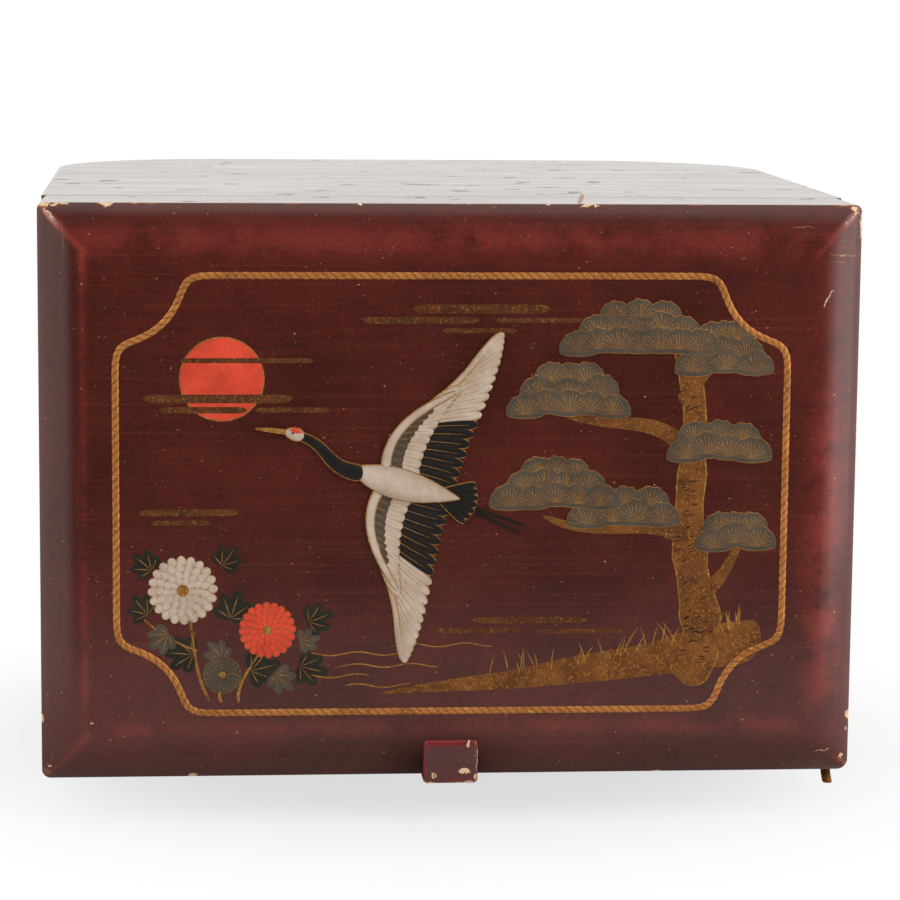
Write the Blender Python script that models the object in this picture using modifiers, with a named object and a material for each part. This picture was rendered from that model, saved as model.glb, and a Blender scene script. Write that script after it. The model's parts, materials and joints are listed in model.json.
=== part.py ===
"""Lacquered table cabinet with a crowned, hollow front door on one long hinge rod.

Units are metres. X runs to the right, Y to the back and Z up. The origin is on the floor,
under the middle of the cabinet, and the door is closed.
"""

import math

import bmesh
import bpy
from mathutils import Vector

# Cabinet
WIDTH = 0.400
BODY_HEIGHT = 0.282
CARCASS_DEPTH = 0.330
BACK_CORNER_RADIUS = 0.095
BOARD = 0.013
FOOT_HEIGHT = 0.023
FOOT_SIDE = 0.032
FOOT_INSET_SIDE = 0.020
FOOT_INSET_FRONT = 0.045
FOOT_INSET_BACK = 0.055
FOOT_ROUNDING = 0.002

# Lip frame in the mouth of the carcass, which the hollow door closes over
LIP_THICKNESS = 0.008
LIP_PROUD = 0.006
LIP_SEAT = 0.018

# Shelf, measured from the cabinet's floor board to the shelf's upper face
SHELF_HEIGHT = 0.125
SHELF_THICKNESS = 0.009
CLEAT_WIDTH = 0.008
CLEAT_HEIGHT = 0.010

# Door
DOOR_DEPTH = 0.050
PANEL_EDGE = 0.006
RAIL = 0.013
CROWN_WIDTH = 0.021
CROWN_DEPTH = 0.010
TAB_WIDTH = 0.027
TAB_HEIGHT = 0.022
TAB_THICKNESS = 0.012
TAB_DROP = 0.0025
TAB_ROUNDING = 0.0015

# Hinges
ROD_RADIUS = 0.0025
ROD_DROP = 0.0195
ROD_TIP_CHAMFER = 0.0005
ROD_HEAD_RADIUS = 0.0036
ROD_HEAD_HEIGHT = 0.0022
AXIS_OUTSIDE = 0.0005
KNUCKLE_WALL = 0.0014
HINGE_LENGTH = 0.060
HINGE_END_MARGIN = 0.040
LEAF_THICKNESS = 0.0012
LEAF_EDGE = 0.0012
SCREW_HEAD_RADIUS = 0.0020
SCREW_SHANK_RADIUS = 0.0011
SCREW_LENGTH = 0.010
SCREW_END_DISTANCE = 0.010

# Clearances
JOINT_GAP = 0.0003
SEAM_GAP = 0.0006
LIP_FIT = 0.0005
TURN_GAP = 0.0005

# Smoothness of the round shapes
ARC_STEPS = 16
CROWN_STEPS = 6
ROUND_SIDES = 24
SMOOTH_ANGLE = math.radians(40)

# Levels and planes that the pieces share
HALF_WIDTH = WIDTH / 2
BASE = FOOT_HEIGHT
TOP = BASE + BODY_HEIGHT
FRONT = -(CROWN_DEPTH + DOOR_DEPTH + CARCASS_DEPTH) / 2
OUTLINE = FRONT + CROWN_DEPTH
SEAM = OUTLINE + DOOR_DEPTH
BACK = SEAM + CARCASS_DEPTH
CARCASS_FRONT = SEAM + SEAM_GAP / 2
DOOR_BACK = SEAM - SEAM_GAP / 2
INNER_HALF_WIDTH = HALF_WIDTH - BOARD
FLOOR_LEVEL = BASE + BOARD
CEILING_LEVEL = TOP - BOARD
AXIS_X = HALF_WIDTH + AXIS_OUTSIDE
BORE_RADIUS = ROD_RADIUS + JOINT_GAP
KNUCKLE_RADIUS = BORE_RADIUS + KNUCKLE_WALL
LEAF_INNER_X = HALF_WIDTH - min(BOARD, RAIL) + LEAF_EDGE
LEAF_OUTER_X = AXIS_X - KNUCKLE_RADIUS - TURN_GAP
HINGE_CENTRES = {
    "lower": BASE + HINGE_END_MARGIN + HINGE_LENGTH / 2,
    "upper": TOP - HINGE_END_MARGIN - HINGE_LENGTH / 2,
}
OVERCUT = 0.002


def clear_scene():
    """Remove what the opened file holds."""
    for item in list(bpy.data.objects):
        bpy.data.objects.remove(item)


def new_collection(name):
    """Make a collection and link it to the scene."""
    collection = bpy.data.collections.new(name)
    bpy.context.scene.collection.children.link(collection)
    return collection


def finish(name, colour, roughness, metallic=0.0):
    """Make a plain material from a linear colour."""
    material = bpy.data.materials.new(name)
    material.use_nodes = True
    shader = material.node_tree.nodes["Principled BSDF"]
    shader.inputs["Base Color"].default_value = (*colour, 1.0)
    shader.inputs["Roughness"].default_value = roughness
    shader.inputs["Metallic"].default_value = metallic
    return material


clear_scene()
PARTS = new_collection("table_cabinet")
CUTTERS = new_collection("cutters")
RED_LACQUER = finish("red_lacquer", (0.085, 0.012, 0.012), 0.30)
DARK_LACQUER = finish("dark_lacquer", (0.045, 0.010, 0.010), 0.32)
INNER_LACQUER = finish("inner_lacquer", (0.020, 0.011, 0.009), 0.45)
BARE_WOOD = finish("bare_wood", (0.300, 0.170, 0.080), 0.70)
BRASS = finish("aged_brass", (0.330, 0.180, 0.060), 0.40, 1.0)


def smooth(mesh):
    """Shade a mesh smooth, apart from its sharp edges."""
    mesh.shade_smooth()
    mesh.set_sharp_from_angle(angle=SMOOTH_ANGLE)
    return mesh


def add_part(name, mesh, place, material, parent=None):
    """Put a mesh in the model as a named piece, at a place given in the world."""
    part = bpy.data.objects.new(name, mesh)
    mesh.materials.append(material)
    PARTS.objects.link(part)
    part.parent = parent
    part.location = Vector(place) - (parent.location if parent else Vector())
    return part


def add_cutter(name, mesh, place):
    """Put a mesh among the cutters, which only shape other pieces."""
    cutter = bpy.data.objects.new(name, mesh)
    cutter.location = place
    cutter.hide_render = True
    cutter.display_type = "WIRE"
    CUTTERS.objects.link(cutter)
    return cutter


def combine(part, operation, *others):
    """Cut other shapes out of a piece, or join them to it."""
    for other in others:
        modifier = part.modifiers.new(f"{operation.lower()} {other.name}", "BOOLEAN")
        modifier.operation = operation
        modifier.object = other


def round_edges(part, width):
    """Round all edges of a piece."""
    modifier = part.modifiers.new("rounded edges", "BEVEL")
    modifier.width = width
    modifier.segments = 2


def middle_and_size(low, high):
    """Return the middle and the size of a box between two corners."""
    low, high = Vector(low), Vector(high)
    return (low + high) / 2, high - low


def box_mesh(name, size):
    """Make a box around its own origin."""
    mesh = bpy.data.meshes.new(name)
    form = bmesh.new()
    bmesh.ops.create_cube(form, size=1.0)
    bmesh.ops.scale(form, vec=size, verts=form.verts)
    form.to_mesh(mesh)
    form.free()
    return mesh


def cylinder_mesh(name, radius, length, far_radius=None):
    """Make an upright cylinder, or a cone's slice, around its own origin."""
    mesh = bpy.data.meshes.new(name)
    form = bmesh.new()
    bmesh.ops.create_cone(
        form,
        cap_ends=True,
        segments=ROUND_SIDES,
        radius1=radius,
        radius2=radius if far_radius is None else far_radius,
        depth=length,
    )
    form.to_mesh(mesh)
    form.free()
    return smooth(mesh)


def outline_mesh(name, points, thickness):
    """Make a flat plate from an outline in X and Y, half its thickness to each side."""
    curve = bpy.data.curves.new(name, "CURVE")
    curve.dimensions = "2D"
    curve.fill_mode = "BOTH"
    curve.extrude = thickness / 2
    spline = curve.splines.new("POLY")
    spline.points.add(len(points) - 1)
    for spot, (x, y) in zip(spline.points, points):
        spot.co = (x, y, 0, 1)
    spline.use_cyclic_u = True
    return evaluated_mesh(bpy.data.objects.new(name, curve))


def turned_mesh(name, profile):
    """Turn a profile of radius and height round the Z axis, from its top to its bottom."""
    mesh = bpy.data.meshes.new(name)
    spots = [(radius, 0, height) for radius, height in profile]
    mesh.from_pydata(spots, [(i, i + 1) for i in range(len(spots) - 1)], [])
    turned = bpy.data.objects.new(name, mesh)
    modifier = turned.modifiers.new("turning", "SCREW")
    modifier.steps = ROUND_SIDES
    modifier.render_steps = ROUND_SIDES
    modifier.use_merge_vertices = True
    modifier.merge_threshold = 0.00001
    return smooth(evaluated_mesh(turned))


def evaluated_mesh(item):
    """Return the mesh that an object makes, with loose caps welded, and remove the object."""
    PARTS.objects.link(item)
    view = bpy.context.evaluated_depsgraph_get()
    mesh = bpy.data.meshes.new_from_object(item.evaluated_get(view))
    bpy.data.objects.remove(item)
    form = bmesh.new()
    form.from_mesh(mesh)
    bmesh.ops.remove_doubles(form, verts=form.verts, dist=0.000001)
    bmesh.ops.recalc_face_normals(form, faces=form.faces)
    form.to_mesh(mesh)
    form.free()
    mesh.materials.clear()
    return mesh


def add_box(name, low, high, material, parent=None):
    """Add a box-shaped piece between two corners."""
    middle, size = middle_and_size(low, high)
    return add_part(name, box_mesh(name, size), middle, material, parent)


def box_cutter(name, low, high):
    """Add a box-shaped cutter between two corners."""
    middle, size = middle_and_size(low, high)
    return add_cutter(name, box_mesh(name, size), middle)


def arc(centre, radius, start, end):
    """Return points along an arc from one angle to another, in degrees."""
    angles = [math.radians(start + (end - start) * i / ARC_STEPS) for i in range(ARC_STEPS + 1)]
    return [(centre[0] + radius * math.cos(a), centre[1] + radius * math.sin(a)) for a in angles]


def round_backed_plan(half_width, front, back, radius):
    """Return the plan of a board whose two back corners are round."""
    middle = half_width - radius
    turn = back - radius
    right = arc((middle, turn), radius, 0, 90)
    left = arc((-middle, turn), radius, 90, 180)
    return [(-half_width, front), (half_width, front)] + right + left


def plan_board(name, plan, low, high, material):
    """Add a level board of a given plan between two heights."""
    mesh = outline_mesh(name, plan, high - low)
    return add_part(name, mesh, (0, 0, (low + high) / 2), material)


# Cutters round the hinge axis: the rod's groove, and a relief round each set of knuckles
ROD_TOP = HINGE_CENTRES["upper"] + HINGE_LENGTH / 2 + JOINT_GAP + ROD_HEAD_HEIGHT
ROD_BOTTOM = BASE - ROD_DROP
GROOVE_TOP = ROD_TOP + JOINT_GAP
GROOVE_BOTTOM = BASE - OVERCUT
ROD_GROOVE = add_cutter(
    "rod_groove",
    cylinder_mesh("rod_groove", ROD_RADIUS + TURN_GAP, GROOVE_TOP - GROOVE_BOTTOM),
    (AXIS_X, SEAM, (GROOVE_TOP + GROOVE_BOTTOM) / 2),
)
HEAD_REACH = ROD_HEAD_HEIGHT + 2 * JOINT_GAP
RELIEFS = []
for end, height in HINGE_CENTRES.items():
    reach = HEAD_REACH if end == "upper" else JOINT_GAP
    relief_low = height - HINGE_LENGTH / 2 - JOINT_GAP
    relief_high = height + HINGE_LENGTH / 2 + reach
    relief_mesh = cylinder_mesh(f"relief_{end}", KNUCKLE_RADIUS + TURN_GAP, relief_high - relief_low)
    relief_place = (AXIS_X, SEAM, (relief_low + relief_high) / 2)
    RELIEFS.append(add_cutter(f"relief_{end}", relief_mesh, relief_place))


def screw_heights(height):
    """Return the heights of one leaf's two screws."""
    offset = HINGE_LENGTH / 2 - SCREW_END_DISTANCE
    return [height - offset, height + offset]


def leaf_recesses(side, face, direction):
    """Cut the pockets and pilot holes of one side's leaves, in the wood behind its face."""
    cutters = []
    pocket_depth = LEAF_THICKNESS + JOINT_GAP
    hole_depth = SCREW_LENGTH + JOINT_GAP
    for end, height in HINGE_CENTRES.items():
        reach = HINGE_LENGTH / 2 + JOINT_GAP
        ends = sorted([face - direction * OVERCUT, face + direction * pocket_depth])
        low = (LEAF_INNER_X - JOINT_GAP, ends[0], height - reach)
        high = (AXIS_X + OVERCUT, ends[1], height + reach)
        cutters.append(box_cutter(f"pocket_{side}_{end}", low, high))
        for number, level in enumerate(screw_heights(height)):
            name = f"pilot_{side}_{end}_{number}"
            mesh = cylinder_mesh(name, SCREW_SHANK_RADIUS + JOINT_GAP, hole_depth)
            pilot = add_cutter(name, mesh, (SCREW_X, face + direction * hole_depth / 2, level))
            pilot.rotation_euler.x = math.pi / 2
            cutters.append(pilot)
    return cutters


SCREW_X = (LEAF_INNER_X + LEAF_OUTER_X) / 2
CARCASS_RECESSES = leaf_recesses("carcass", CARCASS_FRONT, 1)
DOOR_RECESSES = leaf_recesses("door", DOOR_BACK, -1)


def build_carcass():
    """Build the boards of the box, its round back corners and its feet."""
    plan = round_backed_plan(HALF_WIDTH, CARCASS_FRONT, BACK, BACK_CORNER_RADIUS)
    plan_board("carcass_top", plan, CEILING_LEVEL, TOP, DARK_LACQUER)
    bottom = plan_board("carcass_bottom", plan, BASE, FLOOR_LEVEL, DARK_LACQUER)
    combine(bottom, "DIFFERENCE", ROD_GROOVE)

    low, high = FLOOR_LEVEL + JOINT_GAP, CEILING_LEVEL - JOINT_GAP
    corner_y = BACK - BACK_CORNER_RADIUS
    corner_x = HALF_WIDTH - BACK_CORNER_RADIUS
    for name, sign in (("left", -1), ("right", 1)):
        edges = sorted([sign * INNER_HALF_WIDTH, sign * HALF_WIDTH])
        side = add_box(
            f"carcass_side_{name}",
            (edges[0], CARCASS_FRONT, low),
            (edges[1], corner_y - JOINT_GAP, high),
            DARK_LACQUER,
        )
        if sign > 0:
            combine(side, "DIFFERENCE", ROD_GROOVE, *RELIEFS, *CARCASS_RECESSES)
        start, end = (0, 90) if sign > 0 else (180, 90)
        outer = arc((0, 0), BACK_CORNER_RADIUS, start, end)
        inner = arc((0, 0), BACK_CORNER_RADIUS - BOARD, end, start)
        bend = outline_mesh(f"round_corner_{name}", outer + inner, high - low)
        place = (sign * corner_x, corner_y, (low + high) / 2)
        add_part(f"round_corner_{name}", bend, place, DARK_LACQUER)

    reach = corner_x - JOINT_GAP
    add_box("carcass_back", (-reach, BACK - BOARD, low), (reach, BACK, high), DARK_LACQUER)
    build_feet()


def build_feet():
    """Set four block feet under the bottom board."""
    x = HALF_WIDTH - FOOT_INSET_SIDE - FOOT_SIDE / 2
    rows = {
        "front": SEAM + FOOT_INSET_FRONT + FOOT_SIDE / 2,
        "back": BACK - FOOT_INSET_BACK - FOOT_SIDE / 2,
    }
    height = FOOT_HEIGHT - JOINT_GAP
    for row, y in rows.items():
        for side, sign in (("left", -1), ("right", 1)):
            name = f"foot_{row}_{side}"
            mesh = box_mesh(name, (FOOT_SIDE, FOOT_SIDE, height))
            foot = add_part(name, mesh, (sign * x, y, height / 2), DARK_LACQUER)
            round_edges(foot, FOOT_ROUNDING)


def build_lip():
    """Line the mouth of the carcass with a frame that stands out into the closed door."""
    front = SEAM - LIP_PROUD
    back = SEAM + LIP_SEAT
    x = INNER_HALF_WIDTH - LIP_FIT
    low = FLOOR_LEVEL + LIP_FIT
    high = CEILING_LEVEL - LIP_FIT
    add_box("lip_bottom", (-x, front, low), (x, back, low + LIP_THICKNESS), INNER_LACQUER)
    add_box("lip_top", (-x, front, high - LIP_THICKNESS), (x, back, high), INNER_LACQUER)
    between = (low + LIP_THICKNESS + JOINT_GAP, high - LIP_THICKNESS - JOINT_GAP)
    for name, sign in (("left", -1), ("right", 1)):
        edges = sorted([sign * x, sign * (x - LIP_THICKNESS)])
        low_corner = (edges[0], front, between[0])
        high_corner = (edges[1], back, between[1])
        add_box(f"lip_{name}", low_corner, high_corner, INNER_LACQUER)


def build_shelf():
    """Lay one fixed shelf on two cleats, with its back corners fitted to the round corners."""
    front = SEAM + LIP_SEAT + JOINT_GAP
    back = BACK - BOARD - JOINT_GAP
    half_width = INNER_HALF_WIDTH - JOINT_GAP
    high = FLOOR_LEVEL + SHELF_HEIGHT
    low = high - SHELF_THICKNESS
    plan = round_backed_plan(half_width, front, back, BACK_CORNER_RADIUS - BOARD)
    plan_board("shelf", plan, low, high, INNER_LACQUER)
    cleat_back = BACK - BACK_CORNER_RADIUS
    for name, sign in (("left", -1), ("right", 1)):
        edges = sorted([sign * half_width, sign * (half_width - CLEAT_WIDTH)])
        low_corner = (edges[0], front, low - JOINT_GAP - CLEAT_HEIGHT)
        high_corner = (edges[1], cleat_back, low - JOINT_GAP)
        add_box(f"shelf_cleat_{name}", low_corner, high_corner, BARE_WOOD)


def crowned_panel_mesh(name, width, height):
    """Make a board whose front rises from its outline to a flat middle in a round arc."""
    mesh = bpy.data.meshes.new(name)
    form = bmesh.new()
    bmesh.ops.create_cube(form, size=1.0)
    bmesh.ops.scale(form, vec=(width, PANEL_EDGE, height), verts=form.verts)
    front = min(form.faces, key=lambda face: face.calc_center_median().y)
    sweep = 2 * math.atan2(CROWN_DEPTH, CROWN_WIDTH)
    radius = CROWN_WIDTH / math.sin(sweep)
    for step in range(CROWN_STEPS):
        start = sweep * (1 - step / CROWN_STEPS)
        end = sweep * (1 - (step + 1) / CROWN_STEPS)
        inward = radius * (math.sin(start) - math.sin(end))
        forward = radius * (math.cos(end) - math.cos(start))
        bmesh.ops.inset_region(
            form, faces=[front], thickness=inward, use_even_offset=True
        )
        bmesh.ops.translate(form, vec=(0, -forward, 0), verts=front.verts)
    form.to_mesh(mesh)
    form.free()
    return smooth(mesh)


def build_door(axis):
    """Build the door's crowned panel, the rails of its hollow back and its pull tab."""
    panel_mesh = crowned_panel_mesh("door_panel", WIDTH, BODY_HEIGHT)
    panel_place = (0, OUTLINE + PANEL_EDGE / 2, (BASE + TOP) / 2)
    panel = add_part("door_panel", panel_mesh, panel_place, RED_LACQUER, axis)
    tab_low = (-TAB_WIDTH / 2, FRONT, BASE - TAB_DROP)
    tab_high = (TAB_WIDTH / 2, FRONT + TAB_THICKNESS, BASE - TAB_DROP + TAB_HEIGHT)
    tab = add_box("pull_tab", tab_low, tab_high, RED_LACQUER, axis)
    round_edges(tab, TAB_ROUNDING)
    notch = box_cutter(
        "tab_notch",
        (tab_low[0] - JOINT_GAP, FRONT - OVERCUT, tab_low[2] - OVERCUT),
        (tab_high[0] + JOINT_GAP, tab_high[1] + JOINT_GAP, tab_high[2] + JOINT_GAP),
    )
    combine(panel, "DIFFERENCE", notch)

    front = OUTLINE + PANEL_EDGE + JOINT_GAP
    bottom_rail = add_box(
        "door_rail_bottom",
        (-HALF_WIDTH, front, BASE),
        (HALF_WIDTH, DOOR_BACK, BASE + RAIL),
        RED_LACQUER,
        axis,
    )
    combine(bottom_rail, "DIFFERENCE", ROD_GROOVE)
    add_box(
        "door_rail_top",
        (-HALF_WIDTH, front, TOP - RAIL),
        (HALF_WIDTH, DOOR_BACK, TOP),
        RED_LACQUER,
        axis,
    )
    for name, sign in (("left", -1), ("right", 1)):
        edges = sorted([sign * HALF_WIDTH, sign * (HALF_WIDTH - RAIL)])
        stile = add_box(
            f"door_stile_{name}",
            (edges[0], front, BASE + RAIL + JOINT_GAP),
            (edges[1], DOOR_BACK, TOP - RAIL - JOINT_GAP),
            RED_LACQUER,
            axis,
        )
        if sign > 0:
            combine(stile, "DIFFERENCE", ROD_GROOVE, *RELIEFS, *DOOR_RECESSES)


def knuckle_spans(on_door):
    """Return the spans of one leaf's knuckles, from the hinge's middle."""
    third = HINGE_LENGTH / 6
    if on_door:
        return [(-third + JOINT_GAP / 2, third - JOINT_GAP / 2)]
    outer = HINGE_LENGTH / 2
    return [(-outer, -third - JOINT_GAP / 2), (third + JOINT_GAP / 2, outer)]


def comb_outline(spans):
    """Return a leaf's outline in X and height: a strip with a tongue to each knuckle."""
    half = HINGE_LENGTH / 2
    strip = LEAF_OUTER_X - AXIS_X
    tongue = -BORE_RADIUS
    points = [(LEAF_INNER_X - AXIS_X, half), (LEAF_INNER_X - AXIS_X, -half)]
    for low, high in spans:
        if low > -half:
            points += [(strip, points[-1][1])] if points[-1][0] != strip else []
            points.append((strip, low))
        points += [(tongue, low), (tongue, high)]
        if high < half:
            points.append((strip, high))
    if points[-1][1] < half:
        points.append((strip, half))
    return points


def build_leaf(end, on_door, parent):
    """Build one leaf with its knuckles, bore and countersunk holes."""
    side = "door" if on_door else "carcass"
    direction = -1 if on_door else 1
    face = DOOR_BACK if on_door else CARCASS_FRONT
    height = HINGE_CENTRES[end]
    name = f"hinge_{end}_{side}_leaf"
    spans = knuckle_spans(on_door)
    mesh = outline_mesh(name, comb_outline(spans), LEAF_THICKNESS)
    place = (AXIS_X, face + direction * LEAF_THICKNESS / 2, height)
    leaf = add_part(name, mesh, place, BRASS, parent)
    leaf.rotation_euler.x = math.pi / 2
    for number, (low, high) in enumerate(spans):
        knuckle_name = f"{name}_knuckle_{number}"
        knuckle_mesh = cylinder_mesh(knuckle_name, KNUCKLE_RADIUS, high - low)
        knuckle_place = (AXIS_X, SEAM, height + (low + high) / 2)
        combine(leaf, "UNION", add_cutter(knuckle_name, knuckle_mesh, knuckle_place))
    bore_mesh = cylinder_mesh(f"{name}_bore", BORE_RADIUS, HINGE_LENGTH + 2 * OVERCUT)
    combine(leaf, "DIFFERENCE", add_cutter(f"{name}_bore", bore_mesh, (AXIS_X, SEAM, height)))
    for number, level in enumerate(screw_heights(height)):
        sink_name = f"{name}_countersink_{number}"
        wide = SCREW_HEAD_RADIUS + JOINT_GAP
        narrow = SCREW_SHANK_RADIUS + JOINT_GAP
        sink = add_cutter(
            sink_name,
            cylinder_mesh(sink_name, wide, LEAF_THICKNESS + 2 * JOINT_GAP, narrow),
            (SCREW_X, face + direction * LEAF_THICKNESS / 2, level),
        )
        sink.rotation_euler.x = -direction * math.pi / 2
        combine(leaf, "DIFFERENCE", sink)


def build_screws(end, on_door, parent):
    """Set the countersunk screws of one leaf."""
    side = "door" if on_door else "carcass"
    direction = -1 if on_door else 1
    face = DOOR_BACK if on_door else CARCASS_FRONT
    profile = [
        (0, 0),
        (SCREW_HEAD_RADIUS, 0),
        (SCREW_SHANK_RADIUS, -LEAF_THICKNESS),
        (SCREW_SHANK_RADIUS, -SCREW_LENGTH + SCREW_SHANK_RADIUS),
        (0, -SCREW_LENGTH),
    ]
    for number, level in enumerate(screw_heights(HINGE_CENTRES[end]), start=1):
        name = f"hinge_{end}_{side}_screw_{number}"
        screw = add_part(name, turned_mesh(name, profile), (SCREW_X, face, level), BRASS, parent)
        screw.rotation_euler.x = direction * math.pi / 2


def build_rod():
    """Hang the long rod by its head on the uppermost knuckle."""
    shoulder = ROD_TOP - ROD_HEAD_HEIGHT
    profile = [
        (0, ROD_TOP),
        (ROD_HEAD_RADIUS, ROD_TOP),
        (ROD_HEAD_RADIUS, shoulder),
        (ROD_RADIUS, shoulder),
        (ROD_RADIUS, ROD_BOTTOM + ROD_TIP_CHAMFER),
        (ROD_RADIUS - ROD_TIP_CHAMFER, ROD_BOTTOM),
        (0, ROD_BOTTOM),
    ]
    add_part("hinge_rod", turned_mesh("hinge_rod", profile), (AXIS_X, SEAM, 0), BRASS)


def build_hinges(axis):
    """Build both hinges, their screws and the rod that runs through them."""
    for end in HINGE_CENTRES:
        for on_door, parent in ((False, None), (True, axis)):
            build_leaf(end, on_door, parent)
            build_screws(end, on_door, parent)
    build_rod()


def main():
    """Build the whole cabinet, with the door's pieces on an empty at the hinge axis."""
    axis = bpy.data.objects.new("door_axis", None)
    axis.location = (AXIS_X, SEAM, BASE)
    PARTS.objects.link(axis)
    build_carcass()
    build_lip()
    build_shelf()
    build_door(axis)
    build_hinges(axis)


main()
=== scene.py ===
"""Looks of a lacquered table cabinet with a crowned front door.

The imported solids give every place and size. This script rebuilds the door, the carcass and the
fittings over them as smooth surfaces, lays a raised gold-lacquer picture on the door, with a
crane, a pine and chrysanthemums, and sets a plain studio round the cabinet.
"""

from __future__ import annotations

import json
import logging
import math
from dataclasses import dataclass, field
from enum import Enum
from typing import ClassVar

import bmesh
import bpy
import numpy as np
from mathutils import Matrix, Vector

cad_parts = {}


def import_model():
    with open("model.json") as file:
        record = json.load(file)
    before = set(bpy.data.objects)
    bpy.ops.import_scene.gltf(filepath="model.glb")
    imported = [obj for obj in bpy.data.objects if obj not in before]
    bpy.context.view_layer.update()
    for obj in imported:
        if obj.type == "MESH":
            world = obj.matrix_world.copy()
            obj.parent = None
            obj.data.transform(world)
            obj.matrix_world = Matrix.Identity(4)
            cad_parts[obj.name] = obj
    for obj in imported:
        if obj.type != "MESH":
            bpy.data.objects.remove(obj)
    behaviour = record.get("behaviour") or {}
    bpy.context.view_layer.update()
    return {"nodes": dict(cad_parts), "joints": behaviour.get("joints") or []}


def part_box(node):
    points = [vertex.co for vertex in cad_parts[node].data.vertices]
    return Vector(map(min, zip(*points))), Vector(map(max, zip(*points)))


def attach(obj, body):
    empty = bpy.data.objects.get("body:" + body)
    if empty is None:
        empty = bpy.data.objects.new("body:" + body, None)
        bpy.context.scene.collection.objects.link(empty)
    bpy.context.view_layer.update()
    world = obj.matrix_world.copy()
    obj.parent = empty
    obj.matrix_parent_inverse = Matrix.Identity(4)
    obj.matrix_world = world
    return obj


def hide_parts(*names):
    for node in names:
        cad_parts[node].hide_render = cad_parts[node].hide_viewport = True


LOG = logging.getLogger("table_cabinet")
Array = np.ndarray
Point = tuple[float, float]
Triple = tuple[float, float, float]
Quad = tuple[float, float, float, float]
Ramp = dict[int, float]
Tree = bpy.types.NodeTree
Node = bpy.types.Node
Socket = bpy.types.NodeSocket

IMAGE_SIDE = 900
MM = 0.001
# Places of the front and of the top, in millimetres
FRONT_FACE = -190.0
TOP_FACE = 305.0
# Half the width of the step in the wood at the end of a hinge's pocket, in metres
SPLIT = 0.00004
# Distances in metres below which two points of a mesh become one, and below which an edge is dropped
WELD = 2e-7
SLIVER = 1e-8


class Body(Enum):
    """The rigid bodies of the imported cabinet."""

    CARCASS = "carcass"
    DOOR = "door"


class Slot(Enum):
    """The record's material slots."""

    RED = "red_lacquer"
    DARK = "dark_lacquer"
    INNER = "inner_lacquer"
    WOOD = "bare_wood"
    BRASS = "aged_brass"


class Mark(Enum):
    """Names of the values that a mesh carries for its material."""

    WEAR = "wear"
    THIN = "thin"
    UPRIGHT = "upright"
    # Dirt from hands round the pull tab, with a painted shadow in it
    GRIME_AND_SHADOW = "grime_and_shadow"
    # Darker in the cord's grooves, and a painted shade along the edges of the raised paint strokes
    GROOVE_AND_EDGE_SHADE = "groove"


# Materials


def linear(code: str) -> Quad:
    """Turn an sRGB hex value, such as "#53271d", into linear red, green, blue and alpha."""
    parts = [int(code[i : i + 2], 16) / 255 for i in (1, 3, 5)]
    return (*(c / 12.92 if c <= 0.04045 else ((c + 0.055) / 1.055) ** 2.4 for c in parts), 1.0)


def add_node(
    tree: Tree,
    kind: str,
    settings: dict[str, object] | None = None,
    inputs: dict[str | int, object] | None = None,
) -> Node:
    """Add a node with its settings, and set or link its inputs.

    Args:
        tree: The node tree of a material or of the world.
        kind: Blender's name for the node's type, without the ShaderNode at its start.
        settings: The node's own properties.
        inputs: Sockets by name or number, each with a value, a socket to link, or a node whose
            first output in use is linked.

    Returns:
        The new node.
    """
    node = tree.nodes.new("ShaderNode" + kind)
    for name, value in (settings or {}).items():
        setattr(node, name, value)
    for key, value in (inputs or {}).items():
        if isinstance(value, Node):
            value = next(socket for socket in value.outputs if socket.enabled)
        if isinstance(value, Socket):
            tree.links.new(value, node.inputs[key])
        else:
            node.inputs[key].default_value = value
    return node


# Settings and socket numbers of the nodes that the materials use most
SMOOTH = {"interpolation_type": "SMOOTHSTEP"}
VALUE, START, END, LEAST, MOST = 0, 1, 2, 3, 4
COLOURS = {"data_type": "RGBA"}
SHARE, FIRST, SECOND, UNDER, OVER = 0, 2, 3, 6, 7
TIMES = {"operation": "MULTIPLY"}
PLUS = {"operation": "ADD"}
GREATER = {"operation": "MAXIMUM"}
LENGTH = {"operation": "LENGTH"}


@dataclass(frozen=True)
class Finish:
    """A material, made once and then shared."""

    name: str

    def material(self) -> bpy.types.Material:
        """Return the material, and make it if nothing has used it yet.

        Returns:
            The shared material.
        """
        known = bpy.data.materials.get(self.name)
        if known:
            return known
        material = bpy.data.materials.new(self.name)
        material.use_nodes = True
        material.node_tree.nodes.clear()
        shader = self.shader(material.node_tree)
        add_node(material.node_tree, "OutputMaterial", None, {"Surface": shader})
        return material

    def shader(self, tree: Tree) -> Node:
        """Build the nodes of the finish and return its shader."""
        raise NotImplementedError


class Face(Enum):
    """The faces of the cabinet that carry knocks."""

    FRONT = "front"
    TOP = "top"


@dataclass(frozen=True)
class Chip:
    """A knock or a scratch through the lacquer of one face, in millimetres; a few also paint a highlight.

    It is an ellipse at a place across the cabinet and up its front, or back along its top. It has
    half a width and half a height, and is turned anticlockwise in degrees. A depth of 1 reaches the
    wood, and a lower one only the ground of the lacquer.
    """

    x: float
    along: float
    wide: float
    high: float
    turn: float = 0.0
    depth: float = 1.0
    face: Face = Face.FRONT
    reach: float = 14.0

    def mapping(self) -> dict[str, Vector]:
        """Return the place, turn and size of the ellipsoid that cuts the chip into its face.

        Returns:
            The inputs of a Mapping node by their names.
        """
        angle = math.radians(self.turn)
        if self.face is Face.TOP:
            place, turn = (self.x, self.along, TOP_FACE), (0, 0, angle)
            size = (self.wide, self.high, self.reach)
        else:
            place, turn = (self.x, FRONT_FACE, self.along), (0, -angle, 0)
            size = (self.wide, self.reach, self.high)
        return {"Location": Vector(place) * MM, "Rotation": Vector(turn), "Scale": Vector(size) * MM}


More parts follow.
